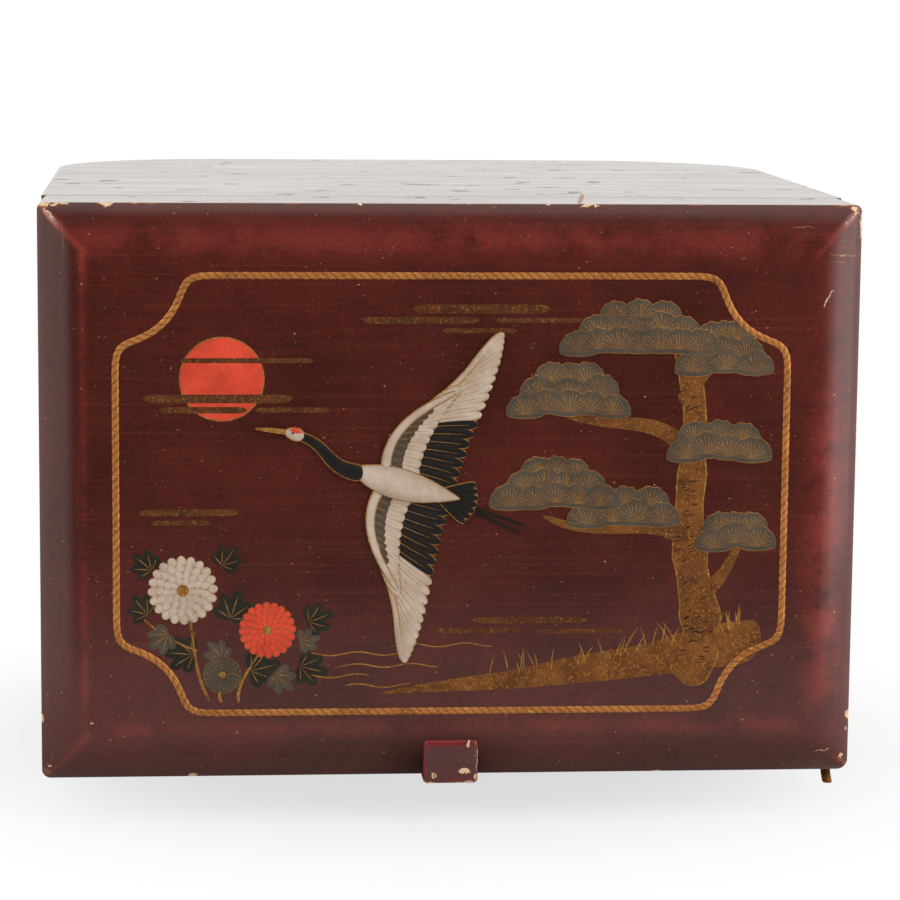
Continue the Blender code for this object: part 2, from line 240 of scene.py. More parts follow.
FRONT_CHIPS = (
    Chip(-196.6, 304.2, 3.2, 1.7, 20),
    Chip(-189.6, 304.5, 4.2, 0.9),
    Chip(-167.0, 304.8, 4.6, 1.1),
    Chip(-46.0, 304.8, 1.6, 0.8),
    Chip(45.5, 304.9, 1.4, 0.7),
    Chip(66.0, 304.6, 4.6, 0.8),
    Chip(195.6, 303.6, 1.4, 2.0, 0, 0.9),
    Chip(199.5, 296.0, 0.7, 8.0),
    # Along the upper left mitre: wear, and a painted highlight of the rounded mitre
    Chip(-194.4, 300.0, 5.0, 0.5, -45, 0.78),
    Chip(-187.4, 288.5, 9.0, 0.35, 92, 0.64),
    # Along the upper right mitre: wear, and a painted highlight of the rounded mitre
    Chip(194.0, 299.0, 6.0, 0.5, 45, 0.85),
    Chip(182.4, 260.5, 5.4, 0.45, 57, 0.9),
    Chip(190.0, 281.0, 8.5, 0.22, -5, 0.76),
    Chip(188.0, 277.4, 7.0, 0.20, -9, 0.74),
    Chip(191.0, 284.6, 5.0, 0.20, -3, 0.72),
    Chip(170.0, 294.5, 6.0, 0.25, -2, 0.74),
    Chip(-197.2, 27.0, 3.8, 2.0, -45, 0.57),
    Chip(-196.0, 30.4, 0.8, 0.7),
    Chip(-174.9, 52.4, 1.0, 0.8),
    Chip(-126.3, 23.6, 2.9, 1.8),
    Chip(-200.0, 53.4, 1.2, 2.2),
    Chip(195.4, 29.6, 2.8, 1.7, -35, 0.68),
    Chip(195.7, 31.0, 1.3, 1.0, 20),
    Chip(198.4, 26.2, 3.0, 0.9, -50, 0.68),
    Chip(200.2, 51.6, 2.4, 2.2, 15),
    Chip(198.4, 44.3, 0.9, 1.1, 0, 0.8),
    Chip(185.5, 34.6, 5.4, 0.28, 12, 0.78),
    Chip(104.0, 23.2, 4.0, 0.9, 0, 0.8),
)
TAB_CHIPS = (
    Chip(8.7, 40.3, 2.2, 0.9, 60),
    Chip(6.6, 27.0, 3.5, 1.7, -8, 0.95),
    Chip(-8.0, 24.8, 1.2, 1.4),
    Chip(12.5, 24.2, 1.4, 1.6, 0, 0.9),
    Chip(12.3, 34.4, 1.5, 0.4),
    # Down the tab's right edge: chipping, and a painted highlight where the edge turns to the light
    Chip(13.4, 33.0, 0.4, 7.5, 0, 0.9),
)
TOP_CHIPS = (Chip(66.0, -150.0, 1.2, 40.0, -8.5, 0.74, Face.TOP),)


@dataclass(frozen=True)
class Lacquer(Finish):
    """Old brushed lacquer over wood.

    Red-brown urushi looks deep and glossy, with cloudy tone, faint brush lines, a fine mottle and
    small pale specks, a red glow where it is rubbed thin, and edges that are worn through to the
    orange-brown ground and the pale wood. Where it is worn matt, nothing glints, and a painted sheen
    greys its colour. Round the pull tab, dirt from hands and a painted shadow darken it, and nothing
    glints there either.
    """

    colour: str
    shade: str
    glow: str
    thin: str = "#943b33"
    roughness: float = 0.24
    brush_run: Triple = (0.09, 0.09, 0.0016)
    cloud: float = 0.055
    speck: float = 0.0014
    speck_share: float = 0.35
    mottle: float = 0.6
    glow_share: float = 0.4
    ridge: float = 0.08
    veil: float = 0.16
    matt_share: float = 0.0
    matt_patch: Triple = (0.020, 0.017, 0.020)
    wear_gain: float = 2.2
    worn_dulling: float = 0.3
    raggedness: float = 0.0045
    # Colour of the matt patches: the lacquer greyed and lightened by a painted sheen, for the gloss they
    # lose
    dull: str = "#5f524c"
    # Colour of the dirt from hands round the pull tab, darkened further by a painted shadow
    grime_and_shadow: str = "#1c1513"
    ground: str = "#8a4a24"
    wood: str = "#f0cda6"
    chips: tuple[Chip, ...] = ()

    # Waves to the metre of the noises in thin places, in the surface and in worn edges
    thin_waves: float = 50.0
    swell_waves: float = 33.0
    grit_waves: float = 250.0
    patch_waves: float = 45.0
    # Where the noises, the wear and a chip's ellipse begin and end to show
    cloud_ramp: ClassVar[Ramp] = {START: 0.32, END: 0.68}
    brush_ramp: ClassVar[Ramp] = {START: 0.45, END: 0.75}
    thin_ramp: ClassVar[Ramp] = {START: 0.3, END: 0.62}
    speck_ramp: ClassVar[Ramp] = {START: 0.74, END: 0.80}
    matt_ramp: ClassVar[Ramp] = {START: 0.635, END: 0.66}
    soil_ramp: ClassVar[Ramp] = {START: 0.48, END: 0.68}
    ground_ramp: ClassVar[Ramp] = {START: 0.52, END: 0.60}
    wood_ramp: ClassVar[Ramp] = {START: 0.72, END: 0.80}
    chip_ramp: ClassVar[Ramp] = {START: 1.5, END: 0.7}

    def shader(self, tree: Tree) -> Node:
        """Layer cloud, brush lines, thin spots, specks, matt patches, dirt, painted shadow and wear under
        gloss.

        Args:
            tree: The material's node tree.

        Returns:
            The shader.
        """
        place = add_node(tree, "TexCoord").outputs["Object"]
        inputs = {"Vector": place, "Scale": 1 / self.cloud, "Detail": 5.0, "Roughness": 0.6}
        cloud = add_node(tree, "TexNoise", None, inputs)
        tone = add_node(tree, "MapRange", SMOOTH, {VALUE: cloud, **self.cloud_ramp})
        brush = self.brushed(tree, place)
        lines = add_node(tree, "MapRange", SMOOTH, {VALUE: brush, **self.brush_ramp})
        glow = add_node(tree, "Math", TIMES, {0: lines, 1: self.glow_share})
        mark = add_node(tree, "Attribute", {"attribute_name": Mark.THIN.value}).outputs["Fac"]
        inputs = {"Vector": place, "Scale": self.thin_waves, "Detail": 4.0, "Roughness": 0.6}
        uneven = add_node(tree, "TexNoise", None, inputs)
        patchy = add_node(tree, "MapRange", SMOOTH, {VALUE: uneven, **self.thin_ramp})
        thin = add_node(tree, "Math", TIMES, {0: mark, 1: patchy})
        colour = linear(self.shade)
        for share, coat in ((tone, self.colour), (glow, self.glow), (thin, self.thin)):
            colour = add_node(tree, "Mix", COLOURS, {SHARE: share, UNDER: colour, OVER: linear(coat)})
        dirt = add_node(tree, "TexNoise", None, {"Vector": place, "Scale": 1 / self.speck, "Detail": 2.0})
        inputs = {SHARE: self.mottle, UNDER: colour, OVER: dirt.outputs["Color"]}
        colour = add_node(tree, "Mix", {**COLOURS, "blend_type": "OVERLAY"}, inputs)
        inputs = {VALUE: dirt, **self.speck_ramp, MOST: self.speck_share}
        specks = add_node(tree, "MapRange", SMOOTH, inputs)
        matt = self.matted(tree, place)
        # Dirt from hands and a painted shadow round the pull tab: darker, and without gloss
        grime_and_shadow_mask = add_node(tree, "Attribute", {"attribute_name": Mark.GRIME_AND_SHADOW.value}).outputs["Fac"]
        rub = self.rubbed(tree, place)
        worn = add_node(tree, "MapRange", SMOOTH, {VALUE: rub, **self.ground_ramp})
        coats = ((specks, self.wood), (matt, self.dull), (grime_and_shadow_mask, self.grime_and_shadow), (worn, self.ground))
        for share, coat in coats:
            colour = add_node(tree, "Mix", COLOURS, {SHARE: share, UNDER: colour, OVER: linear(coat)})
        bare = add_node(tree, "MapRange", SMOOTH, {VALUE: rub, **self.wood_ramp})
        soiled = add_node(tree, "MapRange", SMOOTH, {VALUE: dirt, **self.soil_ramp})
        inputs = {SHARE: soiled, UNDER: linear(self.wood), OVER: linear(self.ground)}
        wood = add_node(tree, "Mix", COLOURS, inputs)
        colour = add_node(tree, "Mix", COLOURS, {SHARE: bare, UNDER: colour, OVER: wood})
        dulled = add_node(tree, "Math", TIMES, {0: worn, 1: self.worn_dulling})
        veil = add_node(tree, "Math", TIMES, {0: brush, 1: self.veil})
        gloss = add_node(tree, "Math", PLUS, {0: veil, 1: self.roughness - self.veil / 2})
        gloss = add_node(tree, "Math", PLUS, {0: gloss, 1: dulled})
        matt = add_node(tree, "Math", GREATER, {0: matt, 1: grime_and_shadow_mask})
        glint = add_node(tree, "MapRange", None, {VALUE: matt, LEAST: 0.5, MOST: 0.0})
        inputs = {"Base Color": colour, "Roughness": gloss, "IOR": 1.5, "Specular IOR Level": glint}
        inputs["Normal"] = self.relief(tree, place, brush, bare)
        return add_node(tree, "BsdfPrincipled", None, inputs)

    def relief(self, tree: Tree, place: Socket, brush: Node, bare: Node) -> Node:
        """Swell the surface a little, ridge it along the brush lines and sink it where it is bare.

        Args:
            tree: The material's node tree.
            place: The place on the cabinet.
            brush: The height of the brush lines.
            bare: How bare the wood is.

        Returns:
            The normal.
        """
        inputs = {"Vector": place, "Scale": self.swell_waves, "Detail": 1.0}
        swell = add_node(tree, "TexNoise", None, inputs)
        heights = ((swell, 0.25, 0.0006), (brush, self.ridge, 0.00012), (bare, 0.6, 0.0004))
        inputs = {}
        for height, strength, distance in heights:
            inputs.update({"Height": height, "Strength": strength, "Distance": distance})
            inputs["Normal"] = add_node(tree, "Bump", {"invert": height is bare}, inputs)
        return inputs["Normal"]

    def brushed(self, tree: Tree, place: Socket) -> Node:
        """Draw the brush lines: along the cabinet, and upright on the borders at its sides.

        Args:
            tree: The material's node tree.
            place: The place on the cabinet.

        Returns:
            The height of the lines.
        """
        runs = tuple(1 / length for length in self.brush_run)
        level = add_node(tree, "Mapping", None, {"Vector": place, "Scale": runs})
        raised = add_node(tree, "Mapping", None, {"Vector": place, "Scale": runs[::-1]})
        level = add_node(tree, "TexNoise", None, {"Vector": level, "Scale": 1.0})
        raised = add_node(tree, "TexNoise", None, {"Vector": raised, "Scale": 1.0})
        mark = add_node(tree, "Attribute", {"attribute_name": Mark.UPRIGHT.value})
        return add_node(tree, "Mix", None, {SHARE: mark.outputs["Fac"], FIRST: level, SECOND: raised})

    def matted(self, tree: Tree, place: Socket) -> Node:
        """Scatter the matt patches: the peaks of a noise that is stretched to their size.

        Args:
            tree: The material's node tree.
            place: The place on the cabinet.

        Returns:
            How matt the lacquer is.
        """
        size = tuple(1 / length for length in self.matt_patch)
        spread = add_node(tree, "Mapping", None, {"Vector": place, "Scale": size})
        noise = add_node(tree, "TexNoise", None, {"Vector": spread, "Scale": 1.0, "Detail": 4.0})
        peaks = add_node(tree, "MapRange", SMOOTH, {VALUE: noise, **self.matt_ramp})
        return add_node(tree, "Math", TIMES, {0: peaks, 1: self.matt_share})

    def rubbed(self, tree: Tree, place: Socket) -> Node:
        """Find how far the lacquer is worn through: by the mesh's own mark, and at the chips.

        Args:
            tree: The material's node tree.
            place: The place on the cabinet.

        Returns:
            The wear, from 0 for sound lacquer to 1 for bare wood.
        """
        inputs = {"Vector": place, "Scale": self.grit_waves, "Detail": 3.0, "Roughness": 0.6}
        grit = add_node(tree, "TexNoise", None, inputs)
        patch = add_node(tree, "TexNoise", None, {"Vector": place, "Scale": self.patch_waves})
        mark = add_node(tree, "Attribute", {"attribute_name": Mark.WEAR.value}).outputs["Fac"]
        uneven = add_node(tree, "Math", TIMES, {0: grit, 1: patch})
        worn = add_node(tree, "Math", TIMES, {0: mark, 1: uneven})
        worn = add_node(tree, "Math", TIMES, {0: worn, 1: self.wear_gain})
        inputs = {0: grit.outputs["Color"], 1: (0.5, 0.5, 0.5)}
        shift = add_node(tree, "VectorMath", {"operation": "SUBTRACT"}, inputs)
        shift = add_node(tree, "VectorMath", {"operation": "SCALE"}, {0: shift, "Scale": self.raggedness})
        ragged = add_node(tree, "VectorMath", PLUS, {0: place, 1: shift})
        for chip in self.chips:
            inputs = {"Vector": ragged, **chip.mapping()}
            local = add_node(tree, "Mapping", {"vector_type": "TEXTURE"}, inputs)
            away = add_node(tree, "VectorMath", LENGTH, {0: local})
            depth = add_node(tree, "MapRange", SMOOTH, {VALUE: away, **self.chip_ramp, MOST: chip.depth})
            worn = add_node(tree, "Math", GREATER, {0: worn, 1: depth})
        return worn


@dataclass(frozen=True)
class GoldLacquer(Finish):
    """Gold powder sprinkled on wet lacquer and rubbed by age.

    It glints softly, in patches of brown and bright gold, with the ground showing where it is thin.
    """

    colour: str
    deep: str
    bright: str
    ground: str = "#4a2016"
    worn_share: float = 0.55

    # Waves to the metre of the noises, and where they begin and end to show
    cloud_waves: float = 62.0
    grain_waves: float = 900.0
    thin_waves: float = 180.0
    cloud_ramp: ClassVar[Ramp] = {START: 0.34, END: 0.66}
    glint_ramp: ClassVar[Ramp] = {START: 0.52, END: 0.70}
    thin_ramp: ClassVar[Ramp] = {START: 0.56, END: 0.70}

    def shader(self, tree: Tree) -> Node:
        """Mix the golds by cloud and by grain, and darken the grooves and the worn spots.

        Args:
            tree: The material's node tree.

        Returns:
            The shader.
        """
        place = add_node(tree, "TexCoord").outputs["Object"]
        inputs = {"Vector": place, "Scale": self.cloud_waves, "Detail": 4.0, "Roughness": 0.6}
        cloud = add_node(tree, "TexNoise", None, inputs)
        tone = add_node(tree, "MapRange", SMOOTH, {VALUE: cloud, **self.cloud_ramp})
        grain = add_node(tree, "TexNoise", None, {"Vector": place, "Scale": self.grain_waves})
        glint = add_node(tree, "MapRange", SMOOTH, {VALUE: grain, **self.glint_ramp})
        inputs = {"Vector": place, "Scale": self.thin_waves, "Detail": 4.0, "Roughness": 0.6}
        thin = add_node(tree, "TexNoise", None, inputs)
        worn = add_node(tree, "MapRange", SMOOTH, {VALUE: thin, **self.thin_ramp, MOST: self.worn_share})
        groove = add_node(tree, "Attribute", {"attribute_name": Mark.GROOVE_AND_EDGE_SHADE.value}).outputs["Fac"]
        coats = ((tone, self.colour), (glint, self.bright), (worn, self.ground), (groove, self.ground))
        colour = linear(self.deep)
        for share, coat in coats:
            colour = add_node(tree, "Mix", COLOURS, {SHARE: share, UNDER: colour, OVER: linear(coat)})
        normal = add_node(tree, "Bump", None, {"Height": grain, "Strength": 0.35, "Distance": 0.0001})
        inputs = {"Base Color": colour, "Metallic": 0.35, "Roughness": 0.48}
        inputs.update({"Specular IOR Level": 0.3, "Normal": normal})
        return add_node(tree, "BsdfPrincipled", None, inputs)


@dataclass(frozen=True)
class ColouredLacquer(Finish):
    """Lacquer coloured with pigment and brushed on thinly, so that it looks matt and a little uneven."""

    colour: str
    shade: str
    flecks: str
    cloud: float = 0.010
    fleck_share: float = 0.5

    # Waves to the metre of the grain, and where the noises begin and end to show
    grain_waves: float = 620.0
    cloud_ramp: ClassVar[Ramp] = {START: 0.3, END: 0.7}
    fleck_ramp: ClassVar[Ramp] = {START: 0.62, END: 0.74}

    def shader(self, tree: Tree) -> Node:
        """Mix the pigment's tones by cloud, scatter small flecks of wear, and add painted shade at stroke
        edges.

        Args:
            tree: The material's node tree.

        Returns:
            The shader.
        """
        place = add_node(tree, "TexCoord").outputs["Object"]
        inputs = {"Vector": place, "Scale": 1 / self.cloud, "Detail": 4.0, "Roughness": 0.6}
        cloud = add_node(tree, "TexNoise", None, inputs)
        tone = add_node(tree, "MapRange", SMOOTH, {VALUE: cloud, **self.cloud_ramp})
        inputs = {"Vector": place, "Scale": self.grain_waves, "Detail": 3.0, "Roughness": 0.6}
        grain = add_node(tree, "TexNoise", None, inputs)
        worn = add_node(tree, "MapRange", SMOOTH, {VALUE: grain, **self.fleck_ramp, MOST: self.fleck_share})
        # A painted shade at the edges of the raised strokes, in the colour of the flecks
        groove = add_node(tree, "Attribute", {"attribute_name": Mark.GROOVE_AND_EDGE_SHADE.value}).outputs["Fac"]
        colour = linear(self.shade)
        for share, coat in ((tone, self.colour), (worn, self.flecks), (groove, self.flecks)):
            colour = add_node(tree, "Mix", COLOURS, {SHARE: share, UNDER: colour, OVER: linear(coat)})
        normal = add_node(tree, "Bump", None, {"Height": grain, "Strength": 0.3, "Distance": 0.00008})
        inputs = {"Base Color": colour, "Roughness": 0.5, "Specular IOR Level": 0.25, "Normal": normal}
        return add_node(tree, "BsdfPrincipled", None, inputs)


@dataclass(frozen=True)
class AgedBrass(Finish):
    """Drawn brass gone brown: warm metal with dull tarnish in patches and fine draw lines."""

    colour: str = "#96622a"
    tarnish: str = "#4a2c12"
    line: float = 0.0007

    # How much longer than wide a draw line is, and the tarnish's waves to the metre and their ramp
    stretch: float = 40.0
    cloud_waves: float = 140.0
    tarnish_ramp: ClassVar[Ramp] = {START: 0.38, END: 0.66}

    def shader(self, tree: Tree) -> Node:
        """Mix bright and tarnished brass, and roughen it along the draw lines.

        Args:
            tree: The material's node tree.

        Returns:
            The shader.
        """
        place = add_node(tree, "TexCoord").outputs["Object"]
        inputs = {"Vector": place, "Scale": self.cloud_waves, "Detail": 5.0, "Roughness": 0.6}
        cloud = add_node(tree, "TexNoise", None, inputs)
        patch = add_node(tree, "MapRange", SMOOTH, {VALUE: cloud, **self.tarnish_ramp})
        inputs = {SHARE: patch, UNDER: linear(self.colour), OVER: linear(self.tarnish)}
        colour = add_node(tree, "Mix", COLOURS, inputs)
        runs = (1 / self.line, 1 / self.line, 1 / (self.stretch * self.line))
        along = add_node(tree, "Mapping", None, {"Vector": place, "Scale": runs})
        lines = add_node(tree, "TexNoise", None, {"Vector": along, "Scale": 1.0})
        gloss = add_node(tree, "MapRange", None, {VALUE: patch, LEAST: 0.28, MOST: 0.50})
        normal = add_node(tree, "Bump", None, {"Height": lines, "Strength": 0.25, "Distance": 0.00005})
        inputs = {"Base Color": colour, "Metallic": 1.0, "Roughness": gloss, "Normal": normal}
        return add_node(tree, "BsdfPrincipled", None, inputs)


@dataclass(frozen=True)
class Softwood(Finish):
    """Planed softwood: pale early wood and darker late wood in lines along the board."""

    colour: str = "#b89468"
    late: str = "#8a6238"
    ring: float = 0.0035

    # How much longer than wide a line is, and where the late wood begins and ends to show
    stretch: float = 40.0
    late_ramp: ClassVar[Ramp] = {START: 0.45, END: 0.62}

    def shader(self, tree: Tree) -> Node:
        """Draw the rings as lines that run to the back.

        Args:
            tree: The material's node tree.

        Returns:
            The shader.
        """
        place = add_node(tree, "TexCoord").outputs["Object"]
        runs = (1 / self.ring, 1 / (self.stretch * self.ring), 1 / self.ring)
        along = add_node(tree, "Mapping", None, {"Vector": place, "Scale": runs})
        rings = add_node(tree, "TexNoise", None, {"Vector": along, "Scale": 1.0, "Detail": 3.0})
        late = add_node(tree, "MapRange", SMOOTH, {VALUE: rings, **self.late_ramp})
        inputs = {SHARE: late, UNDER: linear(self.colour), OVER: linear(self.late)}
        colour = add_node(tree, "Mix", COLOURS, inputs)
        normal = add_node(tree, "Bump", None, {"Height": rings, "Strength": 0.3, "Distance": 0.0001})
        inputs = {"Base Color": colour, "Roughness": 0.65, "Normal": normal}
        return add_node(tree, "BsdfPrincipled", None, inputs)


# Surfaces


def bell(values: Array, middle: float | Array, spread: float | Array) -> Array:
    """Return a bell curve: 1 at its middle, and 1/e at one spread from it."""
    return np.exp(-(((values - middle) / spread) ** 2))


def climb(values: Array, start: float, end: float | Array) -> Array:
    """Return a straight climb from 0 at the start to 1 at the end, level beyond both."""
    return np.clip((values - start) / (end - start), 0, 1)


def quarter(corner: Point, reach: Point, count: int) -> Array:
    """Round a corner off by a quarter ellipse, from the first axis to the second.

    Args:
        corner: The corner.
        reach: How far from the corner the round begins and ends, along the two axes.
        count: Number of points.

    Returns:
        The points.
    """
    turn = np.linspace(0, math.pi / 2, count)
    return np.array(corner) + np.array(reach) * np.stack([1 - np.sin(turn), 1 - np.cos(turn)], axis=1)


def grid_faces(rows: int, columns: int, round_rows: bool = False) -> Array:
    """Return the quads of a grid of points whose columns run round a closed loop.

    Args:
        rows: Number of rows of points.
        columns: Number of points in a row.
        round_rows: Whether the last row joins the first.

    Returns:
        Four point numbers for each quad.
    """
    here, along = np.meshgrid(
        np.arange(rows if round_rows else rows - 1), np.arange(columns), indexing="ij"
    )
    below = (here + 1) % rows
    beside = (along + 1) % columns
    corners = [here * columns + along, here * columns + beside]
    corners += [below * columns + beside, below * columns + along]
    return np.stack(corners, axis=-1).reshape(-1, 4)


@dataclass
class Shell:
    """A closed surface: its points, its faces, and each point's wear, or on paint, its painted edge shade.
    """

    points: Array
    faces: Array
    wear: Array

    @classmethod
    def of_grid(cls, points: Array, wear: Array, round_rows: bool = False) -> Shell:
        """Make a shell from a grid whose columns run round a closed loop.

        Args:
            points: Points as row, column, axis.
            wear: A value for each row, or for each point.
            round_rows: Whether the last row joins the first.

        Returns:
            The shell.
        """
        rows, columns = points.shape[:2]
        spread = np.broadcast_to(wear.reshape(rows, -1), (rows, columns))
        return cls(points.reshape(-1, 3), grid_faces(rows, columns, round_rows), spread.ravel())

    @classmethod
    def joined(cls, shells: list[Shell]) -> Shell:
        """Put several shells together as one.

        Args:
            shells: The shells.

        Returns:
            One shell, with their points and faces one after another.
        """
        starts = np.cumsum([0] + [len(shell.points) for shell in shells[:-1]])
        faces = [shell.faces + start for shell, start in zip(shells, starts)]
        points = [shell.points for shell in shells]
        wear = [shell.wear for shell in shells]
        return cls(np.concatenate(points), np.concatenate(faces), np.concatenate(wear))


@dataclass
class Piece:
    """A surface that becomes one object of the cabinet."""

    name: str
    shell: Shell
    finishes: tuple[Finish, ...]
    body: Body
    slot: Slot
    stands_for: tuple[str, ...] = ()
    shares: Array | None = None
    marks: dict[Mark, Array] = field(default_factory=dict)
    sharp_angle: float = 38.0

    def build(self) -> bpy.types.Object:
        """Make the object: close its poles and seams, point its faces out and dress it.

        Returns:
            The object, riding on its body.
        """
        mesh = bpy.data.meshes.new(self.name)
        mesh.from_pydata(self.shell.points.tolist(), [], self.shell.faces.tolist())
        if self.shares is not None:
            mesh.polygons.foreach_set("material_index", self.shares.astype(np.int32).ravel())
        for mark, values in {Mark.WEAR: self.shell.wear, **self.marks}.items():
            layer = mesh.attributes.new(mark.value, "FLOAT", "POINT")
            layer.data.foreach_set("value", values.astype(np.float32).ravel())
        for finish in self.finishes:
            mesh.materials.append(finish.material())
        form = bmesh.new()
        form.from_mesh(mesh)
        bmesh.ops.remove_doubles(form, verts=form.verts, dist=WELD)
        bmesh.ops.dissolve_degenerate(form, edges=form.edges, dist=SLIVER)
        bmesh.ops.recalc_face_normals(form, faces=form.faces)
        form.to_mesh(mesh)
        form.free()
        mesh.shade_smooth()
        mesh.set_sharp_from_angle(angle=math.radians(self.sharp_angle))
        item = bpy.data.objects.new(self.name, mesh)
        bpy.context.scene.collection.objects.link(item)
        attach(item, self.body.value)
        if self.stands_for:
            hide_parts(*self.stands_for)
        LOG.info("%s: %d faces on the %s", self.name, len(mesh.polygons), self.body.value)
        return item


@dataclass
class Rectangle:
    """A rectangle with round corners, walked round in loops at growing insets.

    The walk starts on the side at the first axis's high end and goes on to the side at the second
    axis's high end. The corners are in the order that the walk meets them. The stops of the four
    sides are places along each side, from low to high, measured from the middle.
    """

    middle: Point
    half: Point
    radii: Quad
    stops: tuple[Array, Array, Array, Array]
    least_radius: float | Array = 0.0004
    arc_steps: int = 7

    @classmethod
    def even(cls, middle: Point, half: Point, radii: Quad, margin: float, count: int) -> Rectangle:
        """Make a rectangle with evenly spaced stops.

        Args:
            middle: Its centre.
            half: Half its size along both axes.
            radii: Radius of each corner.
            margin: Distance of the outer stops from the corners' rounds.
            count: Number of stops on each side.

        Returns:
            The rectangle.
        """
        ends = ((1, 3, 0), (0, 1, 0), (1, 2, 1), (0, 2, 3))
        stops = tuple(
            np.linspace(radii[low] + margin - half[axis], half[axis] - radii[high] - margin, count)
            for axis, low, high in ends
        )
        return cls(middle, half, radii, stops)

    def loops(self, insets: Array) -> Array:
        """Walk round the rectangle once for each inset.

        A side lies at the half size less the inset. A corner is a quarter circle whose radius
        shrinks by the inset, down to the least radius.

        Args:
            insets: Distance of each loop inside the outline.

        Returns:
            Points as loop, place on the loop, axis.
        """
        a = self.half[0] - insets[:, None]
        b = self.half[1] - insets[:, None]
        still = np.zeros_like(a)
        ordered = (self.stops[0], self.stops[1][::-1], self.stops[2][::-1], self.stops[3])
        right, far, left, near = (stop[None, :] + still for stop in ordered)
        sides = [(a + 0 * right, right), (far, b + 0 * far), (0 * left - a, left), (near, 0 * near - b)]
        turns = np.linspace(0, math.pi / 2, self.arc_steps)[None, :]
        parts: list[Array] = []
        for number, (sx, sy) in enumerate(((1, 1), (-1, 1), (-1, -1), (1, -1))):
            parts.append(np.stack(sides[number], axis=-1))
            r = np.maximum(self.radii[number] - insets, self.least_radius)[:, None]
            angle = turns + number * math.pi / 2
            x = sx * (a - r) + r * np.cos(angle)
            y = sy * (b - r) + r * np.sin(angle)
            parts.append(np.stack([x, y], axis=-1))
        return np.concatenate(parts, axis=1) + np.array(self.middle)

    def corner_columns(self) -> Array:
        """Find the points of a loop that lie on each corner.

        Returns:
            Numbers of points as corner and place on the corner.
        """
        lengths = [len(stop) for stop in self.stops]
        ends = np.cumsum(lengths) + self.arc_steps * np.arange(4)
        return ends[:, None] + np.arange(self.arc_steps)

    def sides(self) -> Array:
        """Find the side of each of a loop's points, from 0 to 3, with the corners halved.

        Returns:
            The number of a side for each point.
        """
        corners = self.corner_columns()
        turns = corners[:, self.arc_steps // 2]
        return np.searchsorted(turns, np.arange(corners[-1, -1] + 1), side="right") % 4


def capped(loops: Array, wear: Array, first: Array, last: Array, rings: int = 6) -> Shell:
    """Close both ends of a stack of loops by loops that shrink evenly to a point.

    Args:
        loops: Points as loop, place on the loop, axis.
        wear: A value for each loop, or for each point.
        first: The point that the first loop shrinks to.
        last: The point that the last loop shrinks to.
        rings: Number of loops added at each end.

    Returns:
        The closed shell.
    """
    scale = np.linspace(1, 0, rings + 1)[1:, None, None]
    before = first + (loops[0] - first) * scale
    after = last + (loops[-1] - last) * scale
    worn = np.broadcast_to(wear.reshape(len(loops), -1), loops.shape[:2])
    calm = np.zeros((rings, loops.shape[1]))
    points = np.concatenate([before[::-1], loops, after])
    return Shell.of_grid(points, np.concatenate([calm, worn, calm]))


def board_edge(low: float, high: float, radius: float, steps: int = 4) -> Array:
    """Return rows of inset, height and wear up a board's edge, with both arrises rounded.

    Args:
        low: Height of the lower face.
        high: Height of the upper face.
        radius: Radius of the arrises. The wear fades out 2 mm beyond them.
        steps: Number of steps round each arris.

    Returns:
        The rows, from the lower face to the upper one.
    """
    worn = 0.5 + 0.5 * np.sin(np.linspace(0, math.pi, steps + 1))[:, None]
    fade = min(2 * MM, (high - low) / 3)
    foot = np.hstack([quarter((0, low), (radius, radius), steps + 1), worn])
    head = np.hstack([quarter((0, high), (radius, -radius), steps + 1)[::-1], worn])
    start = [[radius + fade, low, 0]]
    side = [[0, low + radius + fade / 2, 0], [0, high - radius - fade / 2, 0]]
    end = [[radius + fade, high, 0]]
    return np.concatenate([start, foot, side, head, end])


def level_board(plan: Rectangle, low: float, high: float, rounding: float) -> Shell:
    """Make a board that lies level: its plan carried up an edge with rounded arrises.

    Args:
        plan: The outline, in X and Y.
        low: Height of the lower face.
        high: Height of the upper face.
        rounding: Radius of the arrises.

    Returns:
        The closed board.
    """
    edge = board_edge(low, high, rounding)
    flat = plan.loops(edge[:, 0])
    height = np.broadcast_to(edge[:, 1, None, None], flat.shape[:2] + (1,))
    loops = np.concatenate([flat, height], axis=-1)
    return capped(loops, edge[:, 2], np.array([*plan.middle, low]), np.array([*plan.middle, high]))


def block(box: Box, rounding: float) -> Shell:
    """Make a small block with rounded arrises that fills a box."""
    plan = Rectangle.even(box.middle(0, 1), box.half(0, 1), (rounding,) * 4, rounding, 3)
    return level_board(plan, box.low.z, box.high.z, rounding)


def upright(loops: Array, depth: Array) -> Array:
    """Stand loops of X and Z up, each at its own depth in Y."""
    y = np.broadcast_to(depth[:, None], loops.shape[:2])
    return np.stack([loops[..., 0], y, loops[..., 1]], axis=-1)


# Sub-assemblies


@dataclass(frozen=True)
class Box:
    """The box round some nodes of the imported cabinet."""

    low: Vector
    high: Vector

    @classmethod
    def of(cls, *nodes: str) -> Box:
        """Measure the nodes together.

        Args:
            nodes: Names of the nodes.

        Returns:
            The box round all of them.
        """
        corners = [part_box(node) for node in nodes]
        low = Vector(tuple(min(pair[0][axis] for pair in corners) for axis in range(3)))
        high = Vector(tuple(max(pair[1][axis] for pair in corners) for axis in range(3)))
        return cls(low, high)

    def half(self, *axes: int) -> tuple[float, ...]:
        """Return half the box's size along some axes."""
        return tuple((self.high[axis] - self.low[axis]) / 2 for axis in axes)

    def middle(self, *axes: int) -> tuple[float, ...]:
        """Return the box's centre along some axes."""
        return tuple((self.high[axis] + self.low[axis]) / 2 for axis in axes)


